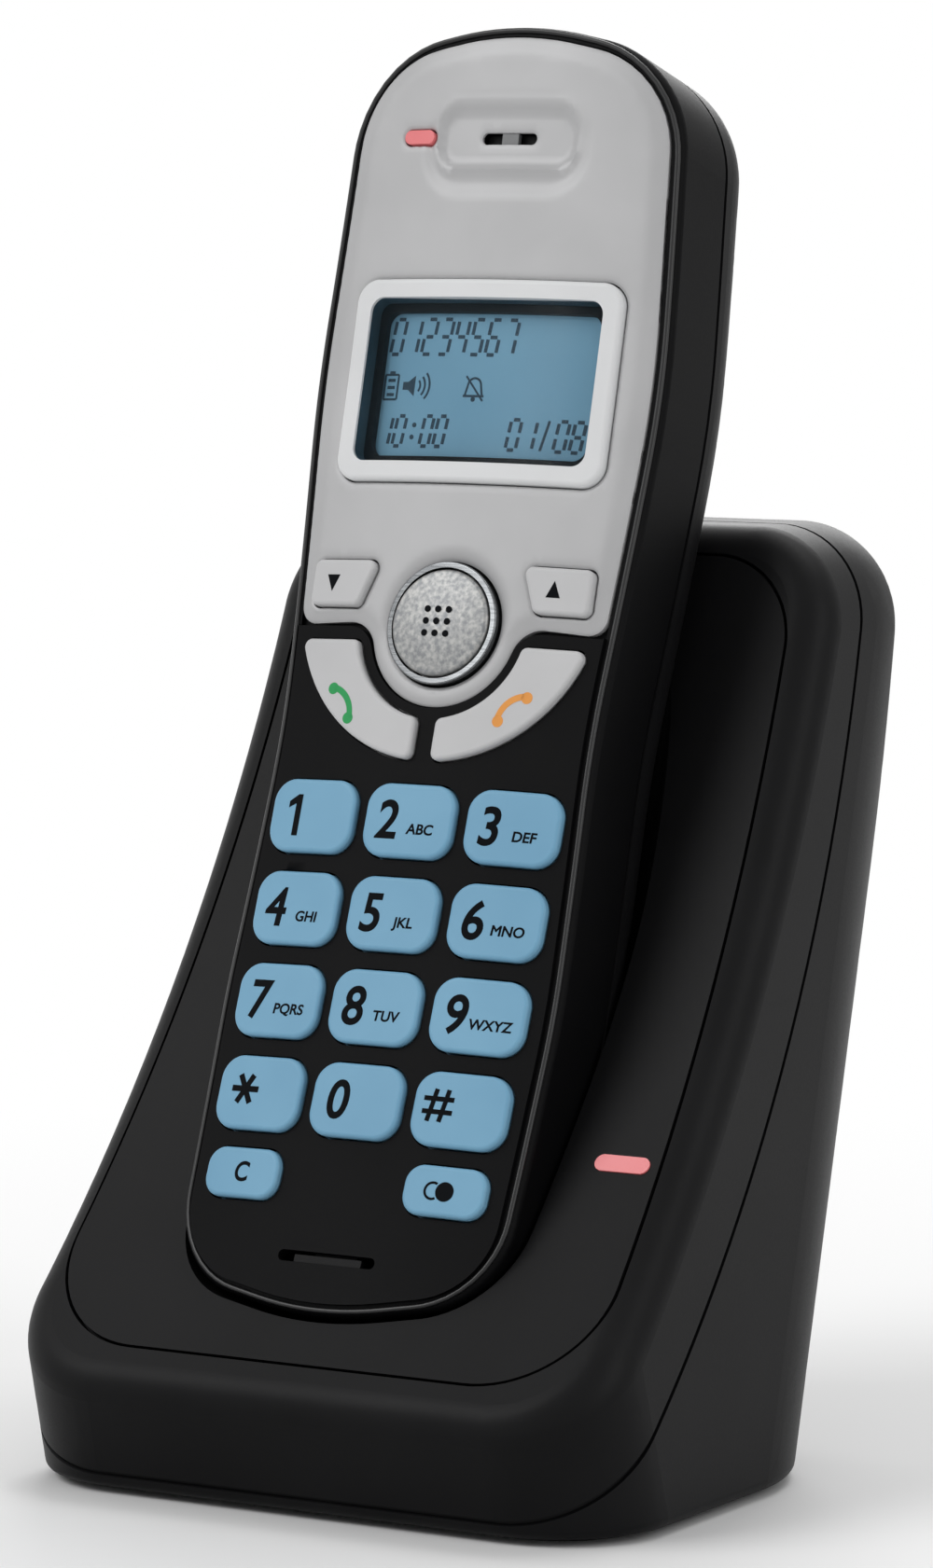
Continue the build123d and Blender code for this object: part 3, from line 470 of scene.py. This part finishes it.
def new_mesh(name, points, faces, smooth):
    """Mesh of points and faces, shaded smooth or flat."""
    mesh = bpy.data.meshes.new(name)
    mesh.from_pydata(points, [], faces)
    mesh.update()
    for polygon in mesh.polygons:
        polygon.use_smooth = smooth
    return mesh


def finish_piece(mesh, name, material, body):
    """Puts a mesh into the scene, on a body, with a material."""
    mesh.materials.clear()
    mesh.materials.append(material)
    piece = bpy.data.objects.new(name, mesh)
    bpy.context.scene.collection.objects.link(piece)
    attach(piece, body)
    return piece


def slabs(name, outlines, low, high, material, body):
    """Closed slabs between two levels, one for each counter-clockwise outline."""
    points = []
    faces = []
    for outline in outlines:
        first = len(points)
        count = len(outline)
        points += [face_point(u, v, high) for u, v in outline]
        points += [face_point(u, v, low) for u, v in outline]
        top = list(range(first, first + count))
        bottom = list(range(first + count, first + 2 * count))
        faces.append(top)
        faces.append(bottom[::-1])
        for here in range(count):
            there = (here + 1) % count
            faces.append((top[there], top[here], bottom[here], bottom[there]))
    mesh = new_mesh(name, points, faces, False)
    return finish_piece(mesh, name, material, body)


def printed(name, outlines, level, material, body):
    """Thin printed marks on a level above the face."""
    return slabs(name, outlines, level - ink_sink, level + ink_rise, material, body)


def ring_mesh(name, rows, smooth):
    """Closed ring: each row of points is joined to the next, and the last to the first."""
    count = len(rows[0])
    points = [point for row in rows for point in row]
    faces = []
    for place in range(len(rows)):
        first = place * count
        second = (place + 1) % len(rows) * count
        for here in range(count):
            there = (here + 1) % count
            faces.append((first + here, first + there, second + there, second + here))
    return new_mesh(name, points, faces, smooth)


def lettered(name, text, place, key, style):
    """Black lettering on a key, centred on a place."""
    size, narrow, weight = style
    curve = bpy.data.curves.new(name, "FONT")
    curve.body = text
    curve.size = size
    curve.align_x = "CENTER"
    curve.align_y = "CENTER"
    curve.shear = letter_slant
    curve.resolution_u = 6
    curve.extrude = weight
    curve.bevel_depth = weight
    curve.bevel_resolution = 0
    source = bpy.data.objects.new(name, curve)
    mesh = bpy.data.meshes.new_from_object(source)
    bpy.data.objects.remove(source)
    flatten = (ink_rise + ink_sink) / (4 * weight)
    middle = key_top + (ink_rise - ink_sink) / 2
    for vertex in mesh.vertices:
        x, y, z = vertex.co
        vertex.co = face_point(place[0] + x * narrow, place[1] + y, middle + z * flatten)
    mesh.update()
    return finish_piece(mesh, name, black_ink, key)


# Outlines


def arc_points(u, v, radius, start, end, steps=14):
    """Places along an arc between two angles, in degrees."""
    angles = [radians(start + (end - start) * step / steps) for step in range(steps + 1)]
    return [Vector((u + radius * cos(angle), v + radius * sin(angle))) for angle in angles]


def round_outline(u, v, radius, sides=28):
    """Circle as an outline."""
    return arc_points(u, v, radius, 0, 360, sides)[:-1]


def arc_band(u, v, radius, width, start, end, steps=14):
    """Curved stroke between two angles, in degrees."""
    outer = arc_points(u, v, radius + width / 2, start, end, steps)
    inner = arc_points(u, v, radius - width / 2, start, end, steps)
    return outer + inner[::-1]


def bar(start, end, width):
    """Straight stroke from one place to another."""
    start = Vector(start)
    end = Vector(end)
    side = Vector((start.y - end.y, end.x - start.x)).normalized() * width / 2
    return [start + side, start - side, end - side, end + side]


def rounded(corners, radii, steps=10):
    """Closed outline whose corners are rounded; a radius of 0 leaves a corner as it is."""
    points = []
    for place, (corner, radius) in enumerate(zip(corners, radii)):
        here = Vector(corner)
        if not radius:
            points.append(here)
            continue
        back = (Vector(corners[place - 1]) - here).normalized()
        ahead = (Vector(corners[(place + 1) % len(corners)]) - here).normalized()
        half = back.angle(ahead) / 2
        middle = here + (back + ahead).normalized() * radius / sin(half)
        start = here + back * radius / tan(half) - middle
        end = here + ahead * radius / tan(half) - middle
        for step in range(steps + 1):
            points.append(middle + start.lerp(end, step / steps).normalized() * radius)
    return points


def pad_outline(u, v, width, height, corner):
    """Rounded rectangle, counter-clockwise."""
    signs = ((-1, -1), (1, -1), (1, 1), (-1, 1))
    corners = [(u + a * width / 2, v + b * height / 2) for a, b in signs]
    return rounded(corners, [corner] * 4)


def moved_in(corners, amount):
    """Corners of a counter-clockwise outline after its sides move in."""
    moved = []
    for place, corner in enumerate(corners):
        here = Vector(corner)
        back = (here - Vector(corners[place - 1])).normalized()
        ahead = (Vector(corners[(place + 1) % len(corners)]) - here).normalized()
        first = Vector((-back.y, back.x))
        second = Vector((-ahead.y, ahead.x))
        moved.append(here + (first + second) * amount / (1 + first.dot(second)))
    return moved


def mirrored(flank):
    """Left side of an outline, from its right side."""
    return [(-u, v) for u, v in reversed(flank)]


def refined(outline, step):
    """Closed outline with no stretch longer than a step."""
    points = []
    for here, there in zip(outline, outline[1:] + outline[:1]):
        count = max(1, ceil((there - here).length / step))
        points += [here.lerp(there, part / count) for part in range(count)]
    return points


def beside(outline, amount):
    """Outline moved to its left by an amount."""
    moved = []
    for place, here in enumerate(outline):
        run = outline[(place + 1) % len(outline)] - outline[place - 1]
        moved.append(here + Vector((-run.y, run.x)).normalized() * amount)
    return moved


def inside(outline, spot):
    """Whether a place lies within a closed outline."""
    within = False
    for here, there in zip(outline, outline[1:] + outline[:1]):
        if (here.y > spot.y) != (there.y > spot.y):
            share = (spot.y - here.y) / (there.y - here.y)
            if spot.x < here.x + share * (there.x - here.x):
                within = not within
    return within


# Faceplate: one softly moulded skin in the place of the CAD plate


def plate_outline():
    """The faceplate's border: the head of the handset and the apron round the menu key."""
    right = handset_flank[2:]
    head = moved_in([*right, (0, handset_length), *mirrored(right)], plate_inset)
    share = (plate_low_v - head[0].y) / (head[1].y - head[0].y)
    low_right = head[0].lerp(head[1], share)
    low_left = Vector((-low_right.x, low_right.y))
    reach = apron_radius + apron_fillet
    tilt = degrees(asin(apron_fillet / reach))
    fillet_u = sqrt(reach**2 - apron_fillet**2)
    fillet_v = menu_v - apron_fillet
    apron = arc_points(-fillet_u, fillet_v, apron_fillet, 90, tilt)
    apron += arc_points(0, menu_v, apron_radius, 180 + tilt, 360 - tilt, 40)
    apron += arc_points(fillet_u, fillet_v, apron_fillet, 180 - tilt, 90)
    corners = [low_right, *head[1:-1], low_left, *apron]
    rising = flank_radii[3:]
    upper = [*rising, end_crown_radius, *reversed(rising)]
    radii = [plate_low_corner, *(radius - plate_inset for radius in upper), plate_low_corner]
    return rounded(corners, radii + [0] * len(apron))


def plate_holes():
    """Holes in the faceplate for what comes through it."""
    right_arrow = rounded(moved_in(arrow_hole, -arrow_hole_gap), [arrow_hole_corner] * 4)
    return [
        pad_outline(0, display_v, *bezel_hole),
        pad_outline(light_u, earpiece_v, *light_hole),
        pad_outline(0, earpiece_v, *ear_slot),
        round_outline(0, menu_v, ring_hole_radius, 72),
        right_arrow,
        [Vector(point) for point in mirrored(right_arrow)],
    ]


def search_tree(spots):
    """Tree that finds the nearest of many flat places."""
    tree = KDTree(len(spots))
    for place, spot in enumerate(spots):
        tree.insert((spot.x, spot.y, 0), place)
    tree.balance()
    return tree


def distance_to(tree, spot):
    """Distance from a flat place to the nearest one in a tree."""
    return tree.find((spot.x, spot.y, 0))[2]


def eased(share):
    """Smooth step from 0 to 1."""
    share = min(max(share, 0), 1)
    return share * share * (3 - 2 * share)


def pad_distance(u, v, width, height, corner):
    """Distance from a rounded rectangle's edge, negative inside it."""
    over_u = abs(u) - width / 2 + corner
    over_v = abs(v) - height / 2 + corner
    return hypot(max(over_u, 0), max(over_v, 0)) + min(max(over_u, over_v), 0) - corner


def plate_level(spot, border, hole):
    """Height of the moulded face at a place with its distances from the border and the holes."""
    dish = pad_distance(spot.x, spot.y - dish_v, *dish_size)
    cup = pad_distance(spot.x, spot.y - earpiece_v, *cup_size)
    ring = hypot(spot.x, spot.y - menu_v) - ring_hole_radius
    level = plate_top - border_drop * eased(1 - border / border_width)
    level -= lip_drop * max(1 - border / lip_width, 0) ** 2
    level -= lip_drop * max(1 - hole / lip_width, 0) ** 2
    level -= dish_depth * eased(-dish / dish_slope)
    level += ridge_height * eased(1 - abs(cup) / ridge_half_width)
    level -= cup_depth * eased(-cup / cup_slope)
    level -= hollow_depth * eased(1 - ring / hollow_width)
    return level


def on_plate(spot, border, holes):
    """Whether a place lies on the faceplate and in none of its holes."""
    return inside(border, spot) and not any(inside(hole, spot) for hole in holes)


def edge_rows(border, holes):
    """Rows of places beside the border and the holes, where the relief is steep."""
    rows = [beside(refined(border, plate_grid), depth) for depth in border_rows]
    for hole in holes:
        rows += [beside(refined(hole, plate_grid), -depth) for depth in hole_rows]
    return rows


def grid_spots(rows, border, holes):
    """Even places between the rows, with every other line shifted by half a step."""
    tree = search_tree([spot for row in rows for spot in row])
    spots = []
    for line in range(int(grid_height / plate_grid)):
        for place in range(int(grid_width / plate_grid)):
            u = grid_low_u + (place + line % 2 / 2) * plate_grid
            spot = Vector((u, grid_low_v + line * plate_grid))
            if distance_to(tree, spot) > grid_clearance and on_plate(spot, border, holes):
                spots.append(spot)
    return spots


def plate_triangles(border, holes):
    """Flat places over the faceplate, and the triangles between them."""
    rows = edge_rows(border, holes)
    spots = []
    edges = []
    for row in rows:
        first = len(spots)
        spots += row
        edges += [(first + place, first + (place + 1) % len(row)) for place in range(len(row))]
    spots += grid_spots(rows, border, holes)
    flat, _, triangles, *_ = delaunay_2d_cdt(spots, edges, [], 0, 1e-5)
    kept = []
    for corners in triangles:
        middle = sum((flat[corner] for corner in corners), Vector((0, 0))) / 3
        if on_plate(middle, border, holes):
            kept.append(corners)
    return flat, kept


def plate_mesh():
    """Closed mesh of the faceplate, fine enough for its soft relief."""
    border = plate_outline()
    holes = plate_holes()
    border_tree = search_tree(refined(border, search_step))
    hole_tree = search_tree([spot for hole in holes for spot in refined(hole, search_step)])
    flat, fronts = plate_triangles(border, holes)
    points = []
    for spot in flat:
        level = plate_level(spot, distance_to(border_tree, spot), distance_to(hole_tree, spot))
        points.append(face_point(spot.x, spot.y, level))
    points += [face_point(spot.x, spot.y, plate_floor) for spot in flat]
    count = len(flat)
    backs = [[corner + count for corner in reversed(face)] for face in fronts]
    sides = {(face[place], face[(place + 1) % 3]) for face in fronts for place in range(3)}
    walls = [(b, a, a + count, b + count) for a, b in sides if (b, a) not in sides]
    mesh = new_mesh("faceplate_skin", points, [*fronts, *backs, *sorted(walls)], True)
    mesh.set_sharp_from_angle(angle=radians(sharp_angle))
    return mesh


silver = finishes["silver_plastic"]
plate_skin = finish_piece(plate_mesh(), "faceplate_skin", silver, "handset")
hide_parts("faceplate")


# Thin trim: bridge, bead and bar, and a band of painted shade in the display's window


def bead_rows():
    """Rows along the handset's rim that go round the bead's section."""
    corners = [(0, 0), *handset_flank, (0, handset_length), *mirrored(handset_flank)]
    radii = [end_crown_radius, *flank_radii, end_crown_radius, *reversed(flank_radii)]
    path = refined(rounded(moved_in(corners, bead_inset), radii), bead_step)
    rows = []
    for side in range(bead_sides):
        turn = -2 * pi * side / bead_sides
        level = bead_level + bead_radius * sin(turn)
        row = beside(path, bead_radius * cos(turn))
        rows.append([face_point(spot.x, spot.y, level) for spot in row])
    return rows


def window_shade_rows():
    """Rows of the band of painted shade round the display's window: up its outer side and down its inner side."""
    outer = pad_outline(0, display_v, *window_size)
    inner = beside(outer, window_shade_width)
    rows = []
    for outline, levels in ((outer, (window_shade_low, window_shade_high)), (inner, (window_shade_high, window_shade_low))):
        for level in levels:
            rows.append([face_point(spot.x, spot.y, level) for spot in outline])
    return rows


bridge = pad_outline(0, earpiece_v, *bridge_size)
slabs("ear_slot_bridge", [bridge], bridge_low, bridge_high, bridge_grey, "handset")
rim_bead = ring_mesh("rim_bead", bead_rows(), True)
finish_piece(rim_bead, "rim_bead", rim_black, "handset")
mic_bar = pad_outline(*mic_bar_at, *mic_bar_size)
black = finishes["black_plastic"]
slabs("mic_slot_bar", [mic_bar], mic_bar_low, mic_bar_high, black, "handset")
# Band of painted shade up the display window's walls, where the bezel's shadow falls
window_shade_band = ring_mesh("painted_window_shade", window_shade_rows(), False)
finish_piece(window_shade_band, "painted_window_shade", lcd_painted_shade, "handset")


# Legends on the keys


def number_legend(mark, key_u, key_v):
    """Digit of a number key, with its letters where it has some."""
    key = f"key_{mark}"
    digit_u = key_u + (digit_shift if mark in letters else lone_digit_shift)
    if mark == "1":
        outline = [(digit_u + u, key_v + v) for u, v in one_outline]
        printed(f"{key}_digit", [outline], key_top, black_ink, key)
    else:
        lettered(f"{key}_digit", mark, (digit_u, key_v + digit_lift), key, digit_style)
    if mark in letters:
        letters_at = (key_u + letter_shift, key_v + letter_lift)
        lettered(f"{key}_letters", letters[mark], letters_at, key, letter_style)


def star_bars():
    """Star sign: three crossing strokes."""
    middle = Vector((star_u, last_row_v))
    bars = []
    for turn in (0, 60, 120):
        reach = Vector((cos(radians(turn)), sin(radians(turn)))) * star_arm
        bars.append(bar(middle - reach, middle + reach, star_stroke))
    return bars


def hash_bars():
    """Hash sign: two level strokes across two leaning ones."""
    bars = []
    for shift in (-hash_half_gap, hash_half_gap):
        left = (hash_u - hash_arm, last_row_v + shift)
        right = (hash_u + hash_arm, last_row_v + shift)
        low = (hash_u + shift - hash_lean, last_row_v - hash_arm)
        high = (hash_u + shift + hash_lean, last_row_v + hash_arm)
        bars += [bar(left, right, hash_stroke), bar(low, high, hash_stroke)]
    return bars


def receiver(u, v, turn):
    """Small receiver sign: a curved grip with a pad at each end."""
    shapes = [arc_band(0, -grip_drop, grip_radius, grip_stroke, *grip_ends)]
    for angle in grip_ends:
        end_u = grip_radius * cos(radians(angle))
        end_v = grip_radius * sin(radians(angle)) - grip_drop
        shapes.append(round_outline(end_u, end_v - grip_pad_drop, grip_pad_radius))
    spin = Matrix.Rotation(radians(turn), 2)
    return [[spin @ point + Vector((u, v)) for point in shape] for shape in shapes]


for place, mark in enumerate(number_keys):
    row, column = divmod(place, 3)
    if mark.isdigit():
        number_legend(mark, (column - 1) * digit_pitch_u, digit_first_v - row * digit_pitch_v)
printed("key_star_mark", star_bars(), key_top, black_ink, "key_star")
printed("key_hash_mark", hash_bars(), key_top, black_ink, "key_hash")
lettered("key_clear_mark", "C", (-function_u, function_v), "key_clear", clear_style)
redial_sign = [
    arc_band(redial_ring_u, function_v, redial_ring_radius, redial_stroke, 60, 300, 24),
    round_outline(redial_dot_u, function_v, redial_dot_radius),
]
printed("key_redial_mark", redial_sign, key_top, black_ink, "key_redial")

for key, (mark_u, way) in arrow_marks.items():
    tip = (mark_u, arrow_v + way * arrow_tip)
    left = (mark_u - arrow_half, arrow_v - way * arrow_foot)
    right = (mark_u + arrow_half, arrow_v - way * arrow_foot)
    triangle = [tip, left, right][::way]
    printed(f"{key}_mark", [triangle], arrow_top, black_ink, key)

talk_sign = receiver(*talk_sign_at, talk_sign_turn)
end_sign = receiver(*end_sign_at, end_sign_turn)
printed("talk_sign", talk_sign, key_top, green_ink, "talk_key")
printed("end_sign", end_sign, key_top, orange_ink, "end_key")

for row in (-1, 0, 1):
    for column in (-1, 0, 1):
        name = f"menu_dot_{row + 1}_{column + 1}"
        off_middle = hypot(row, column) * dot_pitch
        level = menu_dome_top - off_middle**2 / (2 * menu_dome_radius)
        dot = round_outline(column * dot_pitch, menu_v + row * dot_pitch, dot_radius, 20)
        printed(name, [dot], level, black_ink, "menu_key")


# Display content: plain digits and signs


def digit_bars(mark, left, v, width, height):
    """Slanted strokes of one seven-segment digit."""
    bars = []
    for letter in segment_sets[mark]:
        ends = []
        for column, level in segment_lines[letter]:
            rise = height * level / 2
            ends.append(Vector((left + column * width + segment_slant * rise, v + rise)))
        trim = (ends[1] - ends[0]).normalized() * (segment_width + segment_gap) / 2
        bars.append(bar(ends[0] + trim, ends[1] - trim, segment_width))
    return bars


def display_text(text, u, v, width, height, pitch):
    """Line of seven-segment digits; a colon or a stroke may stand between them."""
    shapes = []
    for place, mark in enumerate(text):
        left = u + place * pitch
        if mark == ":":
            for share in colon_shares:
                dot_u = left + width / 2 + segment_slant * height * share
                shapes.append(round_outline(dot_u, v + height * share, colon_radius, 10))
        elif mark == "/":
            low_u, high_u = [left + share * width for share in slash_shares]
            shapes.append(bar((low_u, v), (high_u, v + height), slash_width))
        else:
            shapes += digit_bars(mark, left, v, width, height)
    return shapes


def battery_sign(u, v):
    """Upright cell with three bars."""
    low = v - 1.7
    high = v + 1.4
    nose = v + 1.7
    corners = [(u - 1, low), (u + 1, low), (u + 1, high), (u - 1, high)]
    shapes = []
    for here, there in ((0, 3), (1, 2), (0, 1), (3, 2)):
        shapes.append(bar(corners[here], corners[there], icon_stroke))
    shapes.append(bar((u - 0.4, nose), (u + 0.4, nose), 0.3))
    for level in (-1.1, -0.2, 0.7):
        shapes.append(bar((u - 0.55, v + level), (u + 0.55, v + level), 0.4))
    return shapes


def speaker_sign(u, v):
    """Loudspeaker with sound arcs."""
    half = [(-1.8, 0.5), (-1.0, 0.5), (0, 1.3)]
    body = [(u + a, v - b) for a, b in half]
    body += [(u + a, v + b) for a, b in reversed(half)]
    arcs = [arc_band(u - 0.2, v, radius, icon_stroke, -42, 42) for radius in (1.0, 1.7, 2.4)]
    return [body, *arcs]


def bell_sign(u, v):
    """Bell with a stroke through it."""
    shoulder = v + 0.3
    mouth = v - 1.0
    return [
        arc_band(u, shoulder, 0.95, icon_stroke, 0, 180),
        bar((u - 0.95, shoulder), (u - 1.25, mouth), icon_stroke),
        bar((u + 0.95, shoulder), (u + 1.25, mouth), icon_stroke),
        bar((u - 1.5, mouth), (u + 1.5, mouth), 0.3),
        round_outline(u, v - 1.4, 0.32, 12),
        bar((u - 1.3, v + 1.5), (u + 1.4, v - 1.6), 0.26),
    ]


display_marks = []
for text, (text_u, text_lift, *text_size) in display_lines.items():
    display_marks += display_text(text, text_u, display_v + text_lift, *text_size)
display_marks += battery_sign(battery_u, display_v)
display_marks += speaker_sign(speaker_u, display_v)
display_marks += bell_sign(bell_u, display_v - bell_drop)
printed("lcd_marks", display_marks, lcd_top, lcd_ink, "handset")


# Stage: seamless pale floor, soft lamps, camera


def seen_rays(tree):
    """Node that is 1 for rays that see the background, straight, mirrored or through glass."""
    rays = tree.nodes.new("ShaderNodeLightPath")
    direct = tree.nodes.new("ShaderNodeMath")
    direct.operation = "MAXIMUM"
    seen = tree.nodes.new("ShaderNodeMath")
    seen.operation = "MAXIMUM"
    link(tree, rays, "Is Camera Ray", direct, 0)
    link(tree, rays, "Is Glossy Ray", direct, 1)
    link(tree, direct, "Value", seen, 0)
    link(tree, rays, "Is Transmission Ray", seen, 1)
    return seen


def floor_material():
    """Pale surface that keeps the object's shadow and turns to white further out."""
    material, tree, shader = new_material("pale_floor")
    shader.inputs["Base Color"].default_value = (floor_tone, floor_tone, floor_tone, 1)
    shader.inputs["Roughness"].default_value = floor_roughness
    place = tree.nodes.new("ShaderNodeTexCoord")
    distance = tree.nodes.new("ShaderNodeVectorMath")
    distance.operation = "LENGTH"
    fade = tree.nodes.new("ShaderNodeMapRange")
    fade.inputs["From Min"].default_value = floor_fade[0] * MM
    fade.inputs["From Max"].default_value = floor_fade[1] * MM
    share = tree.nodes.new("ShaderNodeMath")
    share.operation = "MULTIPLY"
    white = tree.nodes.new("ShaderNodeEmission")
    mix = tree.nodes.new("ShaderNodeMixShader")
    link(tree, place, "Object", distance, 0)
    link(tree, distance, "Value", fade, "Value")
    link(tree, fade, "Result", share, 0)
    link(tree, seen_rays(tree), "Value", share, 1)
    link(tree, share, "Value", mix, 0)
    link(tree, shader, "BSDF", mix, 1)
    link(tree, white, "Emission", mix, 2)
    link(tree, mix, "Shader", tree.nodes["Material Output"], "Surface")
    return material


def seamless_floor():
    """Wide level floor under the object."""
    half = floor_half * MM
    corners = [(-half, -half, 0), (half, -half, 0), (half, half, 0), (-half, half, 0)]
    mesh = new_mesh("floor", corners, [(0, 1, 2, 3)], False)
    mesh.materials.append(floor_material())
    floor = bpy.data.objects.new("floor", mesh)
    bpy.context.scene.collection.objects.link(floor)


def soft_world():
    """Even grey surround for the light, white where it is seen."""
    world = bpy.data.worlds.new("surround")
    world.use_nodes = True
    bpy.context.scene.world = world
    tree = world.node_tree
    ambient = tree.nodes["Background"]
    ambient.inputs["Color"].default_value = (1, 1, 1, 1)
    ambient.inputs["Strength"].default_value = surround_strength
    white = tree.nodes.new("ShaderNodeBackground")
    white.inputs["Color"].default_value = (1, 1, 1, 1)
    mix = tree.nodes.new("ShaderNodeMixShader")
    link(tree, seen_rays(tree), "Value", mix, 0)
    link(tree, ambient, "Background", mix, 1)
    link(tree, white, "Background", mix, 2)
    link(tree, mix, "Shader", tree.nodes["World Output"], "Surface")


def softbox(name, place, target, size, power):
    """Rectangular lamp that faces a target."""
    lamp = bpy.data.lights.new(name, "AREA")
    lamp.shape = "RECTANGLE"
    lamp.size = size[0] * MM
    lamp.size_y = size[1] * MM
    lamp.energy = power
    holder = bpy.data.objects.new(name, lamp)
    holder.location = Vector(place) * MM
    holder.rotation_mode = "QUATERNION"
    holder.rotation_quaternion = (Vector(target) - Vector(place)).to_track_quat("-Z", "Y")
    bpy.context.scene.collection.objects.link(holder)


def photo_camera():
    """Camera at the photograph's place and angle."""
    lens = bpy.data.cameras.new("camera")
    lens.sensor_fit = "VERTICAL"
    lens.sensor_height = sensor_mm
    lens.sensor_width = sensor_mm
    lens.lens = focal_px / image_height_px * sensor_mm
    lens.clip_start = 0.01
    lens.clip_end = 100
    camera = bpy.data.objects.new("camera", lens)
    camera.location = camera_place * MM
    camera.rotation_mode = "QUATERNION"
    camera.rotation_quaternion = camera_forward.to_track_quat("-Z", "Y")
    bpy.context.scene.collection.objects.link(camera)
    bpy.context.scene.camera = camera


seamless_floor()
soft_world()
for lamp_name, lamp_setting in lamps.items():
    softbox(lamp_name, *lamp_setting)
photo_camera()
bpy.context.scene.view_settings.view_transform = "Standard"
